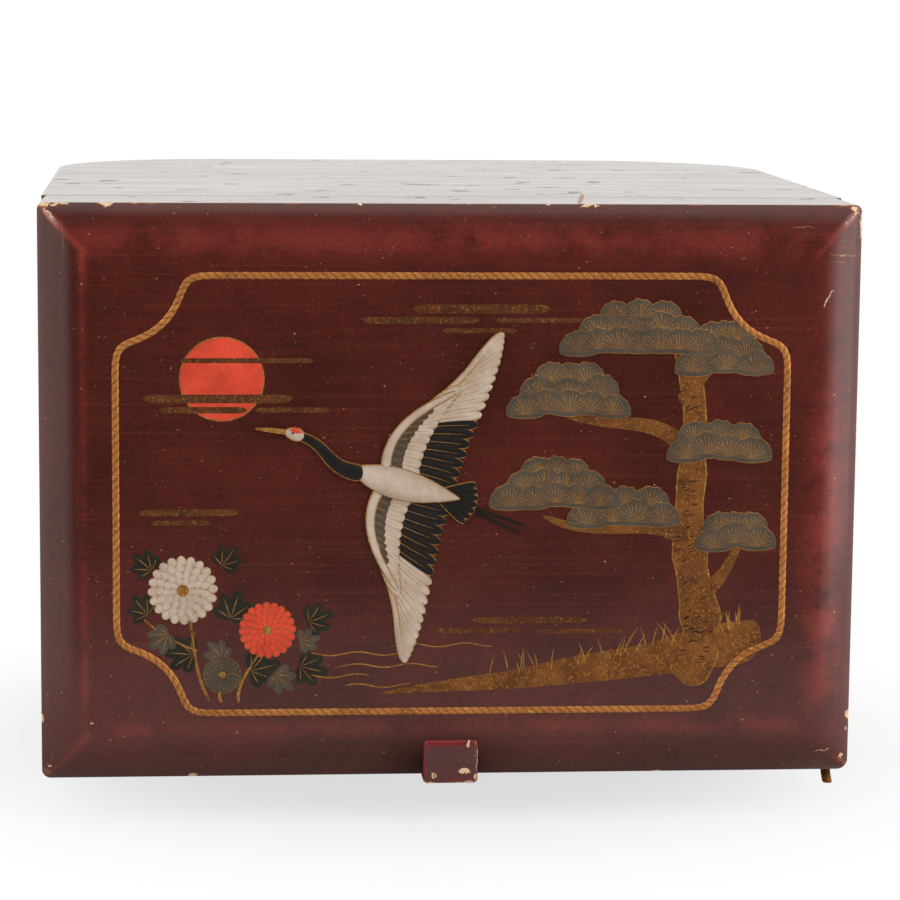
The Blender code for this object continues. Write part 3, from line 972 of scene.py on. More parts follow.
@dataclass
class RodHinge:
    """Two brass hinges on one long rod, and the room that the wood leaves for them."""

    axis: Point
    finish: Finish
    rod_radius: float = 0.0025
    turn_gap: float = 0.0005
    joint_gap: float = 0.0003
    leaf_thickness: float = 0.0012
    face_reach: float = 0.0009
    tip_radius: float = 0.0006
    dome_height: float = 0.0014
    head_depths: Triple = (0.0023, 0.0022, 0.0019)
    seat_share: float = 0.94
    bow: float = 0.0014
    bow_top: float = 0.0225
    ends: tuple[str, str] = ("lower", "upper")

    def __post_init__(self) -> None:
        """Measure the rod and the leaves."""
        self.rod = Box.of("hinge_rod")
        self.leaves = [Box.of(f"hinge_{end}_door_leaf", f"hinge_{end}_carcass_leaf") for end in self.ends]

    def levels(self) -> Array:
        """Find the heights at which the pockets, reliefs and the groove end.

        Returns:
            Pairs of heights, just below and just above each end.
        """
        ends = [height for low, high in self.reliefs() for height in (low, high)]
        ends += [box.high.z + self.joint_gap for box in self.leaves] + [self.groove_top()]
        pairs = np.array(sorted(set(round(end, 6) for end in ends)))
        return np.sort(np.concatenate([pairs - SPLIT, pairs + SPLIT]))

    def groove_top(self) -> float:
        """Return the height at which the rod's groove ends."""
        return self.rod.high.z + self.joint_gap

    def reliefs(self) -> list[Point]:
        """Return the lowest and highest point of the room round each hinge's knuckles."""
        tops = [self.leaves[0].high.z + self.joint_gap, self.groove_top()]
        return [(box.low.z - self.joint_gap, top) for box, top in zip(self.leaves, tops)]

    def cleared(self, points: Array, face: float, inward: int) -> Array:
        """Press the leaves' pockets into a face, and the rod's groove and reliefs into its edge.

        A point in a pocket moves back by the leaf's thickness. A point nearer the axis than the
        round room there moves straight away from the axis on to that room's wall.

        Args:
            points: Points of the wood, in any grid.
            face: Y of the face that carries the leaves.
            inward: Direction in Y from that face into the wood.

        Returns:
            The moved points.
        """
        points = points.copy()
        z = points[..., 2]
        room = np.where((z < self.groove_top()) & (z > self.rod.low.z), self.rod_radius + self.turn_gap, 0.0)
        for box, (low, high) in zip(self.leaves, self.reliefs()):
            level = (z > box.low.z - self.joint_gap) & (z < box.high.z + self.joint_gap)
            across = points[..., 0] > box.low.x - self.joint_gap
            on_face = np.abs(points[..., 1] - face) < self.face_reach
            bottom = face + inward * (self.leaf_thickness + self.joint_gap)
            points[..., 1] = np.where(level & across & on_face, bottom, points[..., 1])
            knuckle = box.high.x - self.axis[0] + self.turn_gap
            room = np.where((z > low) & (z < high), knuckle, room)
        offset = points[..., :2] - np.array(self.axis)
        distance = np.maximum(np.linalg.norm(offset, axis=-1), 1e-6)
        scale = np.where(distance < room, room / distance, 1.0)[..., None]
        points[..., :2] = np.array(self.axis) + offset * scale
        return points

    def build(self, nodes: dict[str, bpy.types.Object]) -> None:
        """Turn the rod, and give the leaves and screws their brass.

        The rod is a profile of radius and height carried round its axis. Below its top, its head
        has a neck, a seat and a rim. Its free end below the cabinet is bowed to the left by half a
        sine wave.

        Args:
            nodes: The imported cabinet's nodes by name.
        """
        low, high = self.rod.low.z, self.rod.high.z
        r, head = self.rod_radius, (self.rod.high.x - self.rod.low.x) / 2
        tip = quarter((r, low), (-self.tip_radius, self.tip_radius), 5)
        free = np.linspace(low + 0.001, self.bow_top, 9)
        neck, seat_low, rim_low = (high - depth for depth in self.head_depths)
        heights = np.concatenate([free, np.linspace(self.bow_top, neck, 12)[1:]])
        shank = np.stack([np.full(len(heights), r), heights], axis=1)
        dome = quarter((head, high), (-head, -self.dome_height), 5)[::-1]
        seat = np.array([[head * self.seat_share, seat_low], [head, rim_low]])
        profile = np.concatenate([[[0, low]], tip, shank, seat, dome])
        angle = np.linspace(0, 2 * math.pi, 32, endpoint=False)
        below = climb(profile[:, 1:], self.bow_top, low)
        x = self.axis[0] + profile[:, :1] * np.cos(angle) - self.bow * np.sin(math.pi * below)
        y = self.axis[1] + profile[:, :1] * np.sin(angle)
        z = np.broadcast_to(profile[:, 1:], x.shape)
        shell = Shell.of_grid(np.stack([x, y, z], axis=-1), np.zeros(len(profile)))
        Piece("hinge_pin", shell, (self.finish,), Body.CARCASS, Slot.BRASS, ("hinge_rod",)).build()
        for name, node in nodes.items():
            if name.startswith("hinge_") and name != "hinge_rod":
                for holder in node.material_slots:
                    holder.material = self.finish.material()


@dataclass
class Door:
    """The hollow door: a crowned front with mitred edges on four rails, and its pull tab.

    Values of the four sides are in the order right, top, left, bottom. Values of the four corners
    are in the order upper right, upper left, lower left, lower right. A thin band has an inset, a
    spread and a strength, and a swell of it has a height, a spread and a strength. A run, start or
    fade goes from one place to another. The steps are the places of the rows of points behind the
    edge, on the flat front, on the outer wall and on the seam.
    """

    hinge: RodHinge
    front_finish: Finish
    top_finish: Finish
    inner_finish: Finish
    tab_finish: Finish
    crown_width: float = 0.021
    edge_radius: float = 0.0012
    seam_radius: float = 0.0003
    panel_edge: float = 0.006
    rail: float = 0.013
    corner_radii: Quad = (0.0036, 0.0034, 0.0042, 0.0052)
    corner_margin: float = 0.042
    mitre_radius: float = 0.0042
    mitre_run: float = 0.004
    inner_radius: float = 0.0012
    edge_rub: float = 0.0017
    seam_rub: float = 0.0012
    seam_wear: float = 0.55
    edge_wear: Quad = (0.45, 0.9, 0.3, 0.35)
    # Pale along each mitre: wear and a painted highlight of the rounded mitre, strongest at the upper
    # corners
    mitre_wear_and_highlight: Quad = (0.85, 0.9, 0.1, 0.2)
    mitre_red: Quad = (0.9, 0.95, 0.5, 0.1)
    pale_highlight_run: Point = (0.012, 0.0)
    red_run: Point = (0.025, 0.021)
    thin_bands: tuple[Triple, ...] = (
        (0.0150, 0.0100, 0.50),
        (0.0175, 0.0075, 0.50),
        (0.0215, 0.0020, 0.50),
        (0.0260, 0.0040, 0.35),
    )
    left_swells: tuple[Triple, ...] = ((0.262, 0.03, 1.2), (0.055, 0.02, 0.6))
    right_start: Point = (0.012, 0.052)
    right_fade: Point = (0.165, 0.225)
    edge_steps: Point = (0.0015, 0.004)
    front_steps: tuple[float, ...] = (0.012, 0.0095, 0.0075, 0.0055, 0.004, 0.0025, 0.001)
    wall_steps: tuple[float, ...] = (0.026, 0.0055, 0.0049, 0.0042, 0.0034, 0.0026, 0.0018, 0.0012)
    seam_steps: tuple[float, ...] = (0.0014, 0.0024, 0.0034, 0.0044, 0.0054, 0.008)
    # Dirt from hands round the pull tab with a painted shadow, centred a little left of the tab
    grime_and_shadow_place: Triple = (-0.004, -0.190, 0.030)
    grime_and_shadow_spread: Triple = (0.025, 0.020, 0.016)
    grime_and_shadow_share: float = 0.95
    tab_rounding: float = 0.0021
    tab_corner: float = 0.0022
    tab_least_corner: float = 0.0008
    tab_proud: float = 0.0010
    tab_bulge: float = 0.0007

    nodes: ClassVar[tuple[str, ...]] = (
        "door_panel",
        "door_rail_top",
        "door_rail_bottom",
        "door_stile_left",
        "door_stile_right",
    )

    def __post_init__(self) -> None:
        """Measure the door."""
        self.box = Box.of(*self.nodes)
        self.rails = Box.of("door_rail_top")
        self.middle = (0.0, (self.box.low.z + self.box.high.z) / 2)
        self.half = (self.box.high.x, (self.box.high.z - self.box.low.z) / 2)

    def profile(self) -> tuple[Array, Array, int, int]:
        """Return the section from the flat front over the edge to the hollow's floor.

        The crown is a circle that leaves the flat front smoothly. A small circle rounds the edge
        between it and the outer wall.

        Returns:
            Rows of inset and depth, the wear of each row, and the numbers of the rows at which
            the outer wall and the seam begin.
        """
        front, back = self.box.low.y, self.box.high.y
        hollow = self.rails.low.y - self.hinge.joint_gap
        depth = hollow - self.panel_edge - front
        width, r = self.crown_width, self.edge_radius
        big = (width**2 + depth**2) / (2 * depth)
        meet = math.asin((width - r) / (big - r))
        edge_y = front + big - math.sqrt((big - r) ** 2 - (width - r) ** 2)
        a = np.linspace(0, meet, 16)
        b = np.linspace(meet, math.pi / 2, 7)[1:]
        gaps = np.array(self.front_steps)
        flat = np.stack([width + gaps, np.full(len(gaps), front)], axis=1)
        crown = np.stack([width - big * np.sin(a), front + big * (1 - np.cos(a))], axis=1)
        edge = np.stack([r * (1 - np.sin(b)), edge_y - r * np.cos(b)], axis=1)
        depths = np.concatenate([edge_y + np.array(self.edge_steps), back - np.array(self.wall_steps)])
        wall = np.stack([0 * depths, depths], axis=1)
        s, rail = self.seam_radius, self.rail
        seam_edge = quarter((0, back), (s, -s), 5)[::-1]
        leaf = self.half[0] - (self.hinge.leaves[0].low.x - self.hinge.joint_gap)
        insets = np.array([*self.seam_steps, leaf - SPLIT, leaf + SPLIT])
        seam = np.stack([insets, np.full(len(insets), back)], axis=1)
        inner_edge = quarter((rail, back), (-s, -s), 5)
        inside = np.array([[rail, back - 0.012], [rail, hollow + 0.001], [rail + 0.001, hollow]])
        rows = np.concatenate([flat, crown, edge, wall, seam_edge, seam, inner_edge, inside])
        from_edge = np.linalg.norm(rows - np.array([0.0, edge_y - 0.4 * r]), axis=1)
        from_seam = np.linalg.norm(rows - np.array([0.0, back]), axis=1)
        wear = bell(from_edge, 0, self.edge_rub) + self.seam_wear * bell(from_seam, 0, self.seam_rub)
        wall_row = len(flat) + len(crown) + len(edge) - 1
        return rows, wear, wall_row, wall_row + len(wall) + len(seam_edge)

    def outline(self, insets: Array, wall_row: int) -> Rectangle:
        """Draw the outline, with stops at the ends of the hinges' recesses on its right side.

        The mitres of the front grow softer over their run from the edge.

        Args:
            insets: The inset of each row of the section.
            wall_row: Number of the row at which the outer wall begins.

        Returns:
            The outline, in X and Z.
        """
        margin = self.corner_margin
        across = np.linspace(margin - self.half[0], self.half[0] - margin, 24)
        up = np.linspace(margin - self.half[1], self.half[1] - margin, 17)
        hinged = np.sort(np.concatenate([up, self.hinge.levels() - self.middle[1]]))
        stops = (hinged, across, up, across)
        soft = np.where(np.arange(len(insets)) < wall_row, climb(insets, 0, self.mitre_run), 0)
        least = self.inner_radius + (self.mitre_radius - self.inner_radius) * soft
        return Rectangle(self.middle, self.half, self.corner_radii, stops, least, 9)

    def build(self) -> None:
        """Build the door's shell and its pull tab."""
        rows, worn, wall_row, seam_row = self.profile()
        outline = self.outline(rows[:, 0], wall_row)
        sides = outline.sides()
        loops = upright(outline.loops(rows[:, 0]), rows[:, 1])
        wear = worn[:, None] * np.array(self.edge_wear)[sides]
        thin = self.thin_lacquer(rows, loops, sides)
        inset = rows[:wall_row, :1]
        crest = np.sin(np.linspace(0, math.pi, outline.arc_steps)) ** 2
        # Along each mitre: a pale line of wear and painted highlight, and a red line of thin lacquer
        for columns, pale, red in zip(outline.corner_columns(), self.mitre_wear_and_highlight, self.mitre_red):
            pale_highlight_line = pale * crest * climb(inset, *self.pale_highlight_run)
            red_line = red * crest * climb(inset, *self.red_run)
            wear[:wall_row, columns] = np.maximum(wear[:wall_row, columns], pale_highlight_line)
            thin[:wall_row, columns] = np.maximum(thin[:wall_row, columns], red_line)
        thin[wall_row:] = 0
        brushed = np.where((rows[:, :1] < self.crown_width - 0.0002) & (sides % 2 == 0), 1.0, 0.0)
        loops = self.hinge.cleared(loops, self.box.high.y, -1)
        first = np.array([0.0, self.box.low.y, self.middle[1]])
        last = np.array([0.0, loops[-1, 0, 1], self.middle[1]])
        rings = 8
        shell = capped(loops, wear, first, last, rings)
        caps = ((rings, rings), (0, 0))
        marks = {Mark.THIN: np.pad(thin, caps), Mark.UPRIGHT: np.pad(brushed, caps)}
        marks[Mark.GRIME_AND_SHADOW] = np.pad(self.grime_and_shadow_round_tab(loops), caps)
        row = np.arange(len(rows) + 2 * rings - 1)[:, None] - rings
        shares = np.where(row >= seam_row, 2, np.where((row >= wall_row) & (sides == 1), 1, 0))
        finishes = (self.front_finish, self.top_finish, self.inner_finish)
        Piece("door_shell", shell, finishes, Body.DOOR, Slot.RED, self.nodes, shares, marks).build()
        self.build_tab()

    def thin_lacquer(self, rows: Array, loops: Array, sides: Array) -> Array:
        """Find where the lacquer is rubbed thin, so that its red shows: along the crown's inner line.

        On each side the strength is a bell curve of the inset. On the left it also swells to the
        upper corner and, less, near the lower one, and on the right it is weaker towards both.

        Args:
            rows: The section's rows of inset and depth.
            loops: The door's points as row, place on the loop, axis.
            sides: The side of each place on a loop.

        Returns:
            A value for each point.
        """
        middle, spread, strength = np.array(self.thin_bands)[sides].T
        thin = strength * bell(rows[:, :1], middle, spread)
        height = loops[..., 2] - self.box.low.z
        swell = 0.5 + sum(strong * bell(height, level, wide) for level, wide, strong in self.left_swells)
        fade = climb(height, *self.right_start) * (1.6 - 1.2 * climb(height, *self.right_fade))
        return thin * np.where(sides == 2, swell, np.where(sides == 0, fade, 1.0))

    def grime_and_shadow_round_tab(self, loops: Array) -> Array:
        """Find how dark the lacquer is round the pull tab, from dirt of hands and a painted shadow: a bell
        curve.

        Args:
            loops: The door's points as row, place on the loop, axis.

        Returns:
            A value for each point.
        """
        x, y, z = self.grime_and_shadow_place
        offset = (loops - np.array([x, y, z])) / np.array(self.grime_and_shadow_spread)
        return self.grime_and_shadow_share * np.exp(-(offset**2).sum(axis=-1))

    def build_tab(self) -> None:
        """Build the pull tab: a pillow-fronted block with rounded edges, let into the lower border.

        Its front bulges by the product of two parabolas, across it and up it. Its upper, left and
        lower edges are rubbed thin.
        """
        box = Box.of("pull_tab")
        half, middle = box.half(0, 2), box.middle(0, 2)
        r, front = self.tab_rounding, box.low.y - self.tab_proud
        flat = np.array([[r + 0.002, front], [r + 0.001, front]])
        edge = quarter((0, front), (r, r), 7)
        wall = np.array([[0, box.high.y - 0.002], [0, box.high.y]])
        rows = np.concatenate([flat, edge, wall])
        wear = np.zeros(len(rows))
        wear[len(flat) : len(flat) + len(edge)] = 0.35 + 0.65 * np.sin(np.linspace(0, math.pi, len(edge)))
        outline = Rectangle.even(middle, half, (self.tab_corner,) * 4, 0.004, 8)
        outline.least_radius = self.tab_least_corner
        loops = upright(outline.loops(rows[:, 0]), rows[:, 1])
        first = np.array([middle[0], rows[0, 1], middle[1]])
        last = np.array([middle[0], rows[-1, 1], middle[1]])
        shell = capped(loops, wear, first, last, 9)
        across = (shell.points[:, 0] - middle[0]) / half[0]
        height = (shell.points[:, 2] - middle[1]) / half[1]
        ahead = climb(shell.points[:, 1], box.high.y, front)
        shell.points[:, 1] -= self.tab_bulge * ahead * (1 - across**2) * (1 - height**2)
        shell.wear = shell.wear * np.where(height < -0.8, 1.7, 0.5)
        strips = np.stack([(height - 0.62) * 3, (-across - 0.86) * 6, (-height - 0.7) * 3])
        marks = {Mark.THIN: np.clip(strips.max(axis=0), 0, 0.85)}
        finishes = (self.tab_finish,)
        Piece("pull_tab_block", shell, finishes, Body.DOOR, Slot.RED, ("pull_tab",), marks=marks).build()


@dataclass
class Carcass:
    """The box behind the door: top, bottom, a wall with round back corners, lip, shelf and feet.

    The steps are the places of points on the wall: back along its sides, and across its front rim.
    """

    hinge: RodHinge
    wall_finish: Finish
    top_finish: Finish
    inner_finish: Finish
    wood_finish: Finish
    foot_finish: Finish
    board: float = 0.013
    corner_radius: float = 0.095
    front_radius: float = 0.0008
    arris: float = 0.0004
    foot_rounding: float = 0.002
    lip_rounding: float = 0.001
    lip_corner: float = 0.0006
    lip_wear: float = 0.35
    plan_margin: float = 0.006
    corner_steps: int = 25
    side_steps: tuple[float, ...] = (0.0009, 0.0014, 0.002, 0.0027, 0.0034, 0.0041, 0.0047, 0.0056, 0.012)
    rim_steps: tuple[float, ...] = (0.0014, 0.0024, 0.0034, 0.0044, 0.0056, 0.009)
    front_rub: float = 0.0014
    rim_rub: float = 0.0012

    walls: ClassVar[tuple[str, ...]] = (
        "carcass_side_left",
        "carcass_side_right",
        "carcass_back",
        "round_corner_left",
        "round_corner_right",
    )

    def plan(self, box: Box, radius: float, front_radius: float) -> Rectangle:
        """Draw the plan of a level board with round back corners.

        Args:
            box: The board's box.
            radius: Radius of its back corners.
            front_radius: Radius of its front corners.

        Returns:
            The plan.
        """
        radii = (radius, radius, front_radius, front_radius)
        plan = Rectangle.even(box.middle(0, 1), box.half(0, 1), radii, self.plan_margin, 14)
        plan.arc_steps = self.corner_steps
        return plan

    def slab(self, box: Box, radius: float) -> Shell:
        """Make a level board with round back corners."""
        return level_board(self.plan(box, radius, self.front_radius), box.low.z, box.high.z, self.arris)

    def lay(self, name: str, shell: Shell, finish: Finish, slot: Slot, *nodes: str) -> None:
        """Build a piece of the carcass that has a single finish."""
        Piece(name, shell, (finish,), Body.CARCASS, slot, nodes).build()

    def build(self) -> None:
        """Build every board of the box."""
        top = Box.of("carcass_top")
        shell = self.slab(top, self.corner_radius)
        upper = shell.points[shell.faces].mean(axis=1)[:, 2] > (top.low.z + top.high.z) / 2
        shares = np.where(upper, 0, 1)
        finishes = (self.top_finish, self.wall_finish)
        Piece("top_board", shell, finishes, Body.CARCASS, Slot.DARK, ("carcass_top",), shares).build()
        bottom = Box.of("carcass_bottom")
        shell = self.slab(bottom, self.corner_radius)
        shell.points = self.hinge.cleared(shell.points, bottom.low.y, 1)
        self.lay("bottom_board", shell, self.wall_finish, Slot.DARK, "carcass_bottom")
        self.build_wall()
        self.build_lip()
        shell = self.slab(Box.of("shelf"), self.corner_radius - self.board)
        self.lay("shelf_board", shell, self.inner_finish, Slot.INNER, "shelf")
        for side in ("left", "right"):
            name = f"shelf_cleat_{side}"
            self.lay(f"cleat_{side}", block(Box.of(name), self.arris), self.wood_finish, Slot.WOOD, name)
            for end in ("front", "back"):
                name = f"foot_{end}_{side}"
                shell = block(Box.of(name), self.foot_rounding)
                self.lay(f"{name}_block", shell, self.foot_finish, Slot.DARK, name)

    def build_wall(self) -> None:
        """Build sides, back and corners as one wall: a section in plan carried straight up.

        The section runs back along the outside, round the back, and returns a board's thickness
        inside, with rounded arrises at both front ends. The ends are closed along its mid-line.
        """
        box = Box.of(*self.walls)
        plan = self.plan(box, self.corner_radius, 0.0)
        half = plan.half[1]
        near = np.array(self.side_steps) - half
        far = np.linspace(0.02 - half, half - self.corner_radius - self.plan_margin, 10)
        along = np.concatenate([near, far])
        plan.stops = (along, plan.stops[1], along, plan.stops[3])
        pair = plan.loops(np.array([0.0, self.board]))
        count = 2 * len(along) + len(plan.stops[1]) + 2 * plan.arc_steps
        outer, inner = pair[0, :count], pair[1, :count]
        front = box.low.y
        leaf = box.high.x - (self.hinge.leaves[0].low.x - self.hinge.joint_gap)
        across = np.array([*self.rim_steps, leaf - SPLIT, leaf + SPLIT])
        s = self.arris / 2
        outside = quarter((0, 0), (s, s), 4)[::-1]
        inside = quarter((self.board, 0), (-s, s), 4)
        rim = np.concatenate([outside, np.stack([across, 0 * across], axis=1), inside])
        left_rim = np.stack([box.low.x + rim[:, 0], front + rim[:, 1]], axis=1)
        right_rim = np.stack([box.high.x - rim[:, 0], front + rim[:, 1]], axis=1)[::-1]
        section = np.concatenate([outer, left_rim, inner[::-1], right_rim])
        mid = (outer + inner) / 2
        ends = [np.repeat(mid[-1:], len(rim), axis=0), np.repeat(mid[:1], len(rim), axis=0)]
        spine = np.concatenate([mid, ends[0], mid[::-1], ends[1]])
        low, high = box.low.z, box.high.z
        heights = np.sort(np.concatenate([np.linspace(low, high, 12), self.hinge.levels()]))
        flat = np.concatenate([[spine], np.repeat(section[None], len(heights), axis=0), [spine]])
        z = np.concatenate([[low], heights, [high]])[:, None]
        loops = np.concatenate([flat, np.broadcast_to(z, flat.shape[:2])[..., None]], axis=-1)
        body = self.hinge.cleared(loops[1:-1], front, 1)
        loops = np.concatenate([loops[:1], body, loops[-1:]])
        at_front = bell(section[:, 1], front, self.front_rub)
        edges = np.abs(np.abs(section[:, 0]) - box.high.x) < self.rim_rub
        wear = np.broadcast_to((at_front * edges)[None, :], loops.shape[:2])
        shell = Shell.of_grid(loops, wear)
        column = np.arange(len(section))
        hidden = (column >= count + len(rim) - 3) & (column < 2 * count + len(rim) + 3)
        shares = np.broadcast_to(np.where(hidden, 1, 0), (len(loops) - 1, len(section)))
        finishes = (self.wall_finish, self.inner_finish)
        Piece("carcass_wall", shell, finishes, Body.CARCASS, Slot.DARK, self.walls, shares).build()

    def build_lip(self) -> None:
        """Build the lip that the door closes over: a rounded section carried round a rectangle."""
        nodes = ("lip_top", "lip_bottom", "lip_left", "lip_right")
        box = Box.of(*nodes)
        thickness = 2 * Box.of("lip_top").half(2)[0]
        half, middle = box.half(0, 2), box.middle(0, 2)
        r = self.lip_rounding
        front, back = box.low.y, box.high.y
        outer = quarter((0, front), (r, r), 5)[::-1]
        inner = quarter((thickness, front), (-r, r), 5)
        rear = np.array([[thickness, back], [thickness / 2, back], [0, back]])
        rows = np.concatenate([outer, inner, rear])
        wear = np.zeros(len(rows))
        wear[1 : len(outer) + len(inner) - 1] = self.lip_wear
        outline = Rectangle.even(middle, half, (self.lip_corner,) * 4, 0.012, 10)
        loops = upright(outline.loops(rows[:, 0]), rows[:, 1])
        shell = Shell.of_grid(loops, wear, True)
        self.lay("door_lip", shell, self.inner_finish, Slot.INNER, *nodes)


# The picture on the door, in millimetres from the middle of the front


class Paint(Enum):
    """The paints of the picture, each a layer of its own."""

    MIST = "mist"
    GROUND = "old_gold"
    GREEN = "grey_green"
    LEAF = "dark_leaves"
    WHITE = "shell_white"
    BLACK = "lamp_black"
    RED = "vermilion"
    LINE = "gold_lines"


def stations(count: int) -> Array:
    """Return places from 0 to 1 that crowd together at both ends."""
    return (1 - np.cos(np.linspace(0, math.pi, count))) / 2


def bezier(control: list[Point], t: Array) -> Array:
    """Return points of a Bezier curve: the control points weighted by Bernstein's polynomials.

    Args:
        control: The control points.
        t: Places along the curve, from 0 to 1.

    Returns:
        A point for each place.
    """
    order = len(control) - 1
    index = np.arange(order + 1)
    ways = np.array([math.comb(order, number) for number in index])
    weights = ways * t[:, None] ** index * (1 - t[:, None]) ** (order - index)
    return weights @ np.array(control, float)


def blunt(t: Array, rise: float, fall: float) -> Array:
    """Return a width that swells and closes in quarter ellipses over shares of the length."""
    swell = np.sqrt(1 - (1 - climb(t, 0, rise)) ** 2)
    return swell * np.sqrt(1 - (1 - climb(1 - t, 0, fall)) ** 2)


def facing(angles: Array) -> Array:
    """Return the unit vectors at some angles."""
    return np.stack([np.cos(angles), np.sin(angles)], axis=-1)


def turned(vectors: Array) -> Array:
    """Return vectors turned to the left by a right angle."""
    return np.stack([-vectors[..., 1], vectors[..., 0]], axis=-1)


def circles(centres: Array, radii: Array, t: Array) -> tuple[Array, Array]:
    """Return level spines across circles, and the half widths that the circles have on them.

    Args:
        centres: A point for each circle.
        radii: Radius of each circle.
        t: Places along the spines, from 0 to 1.

    Returns:
        Points as circle, place, axis, and half widths as circle and place.
    """
    along = (2 * t - 1)[None, :] * radii[:, None]
    spines = np.stack([centres[:, :1] + along, centres[:, 1:] + 0 * along], axis=-1)
    return spines, radii[:, None] * np.sqrt(np.maximum(1 - (2 * t - 1) ** 2, 0))


def fan(roots: Array, angles: Array, lengths: Array, bend: Array | float, t: Array) -> Array:
    """Return spines that leave their roots at their angles and bend by the square of the way.

    Args:
        roots: A point for each spine.
        angles: Direction of each spine.
        lengths: Length of each spine.
        bend: Share of the length by which the end is off the straight line.
        t: Places along the spines, from 0 to 1.

    Returns:
        Points as spine, place, axis.
    """
    ahead = facing(angles)
    aside = turned(ahead)
    run = (lengths[:, None] * t)[..., None]
    curve = (np.broadcast_to(bend, lengths.shape) * lengths)[:, None, None] * (t**2)[None, :, None]
    return roots[:, None, :] + ahead[:, None, :] * run + aside[:, None, :] * curve


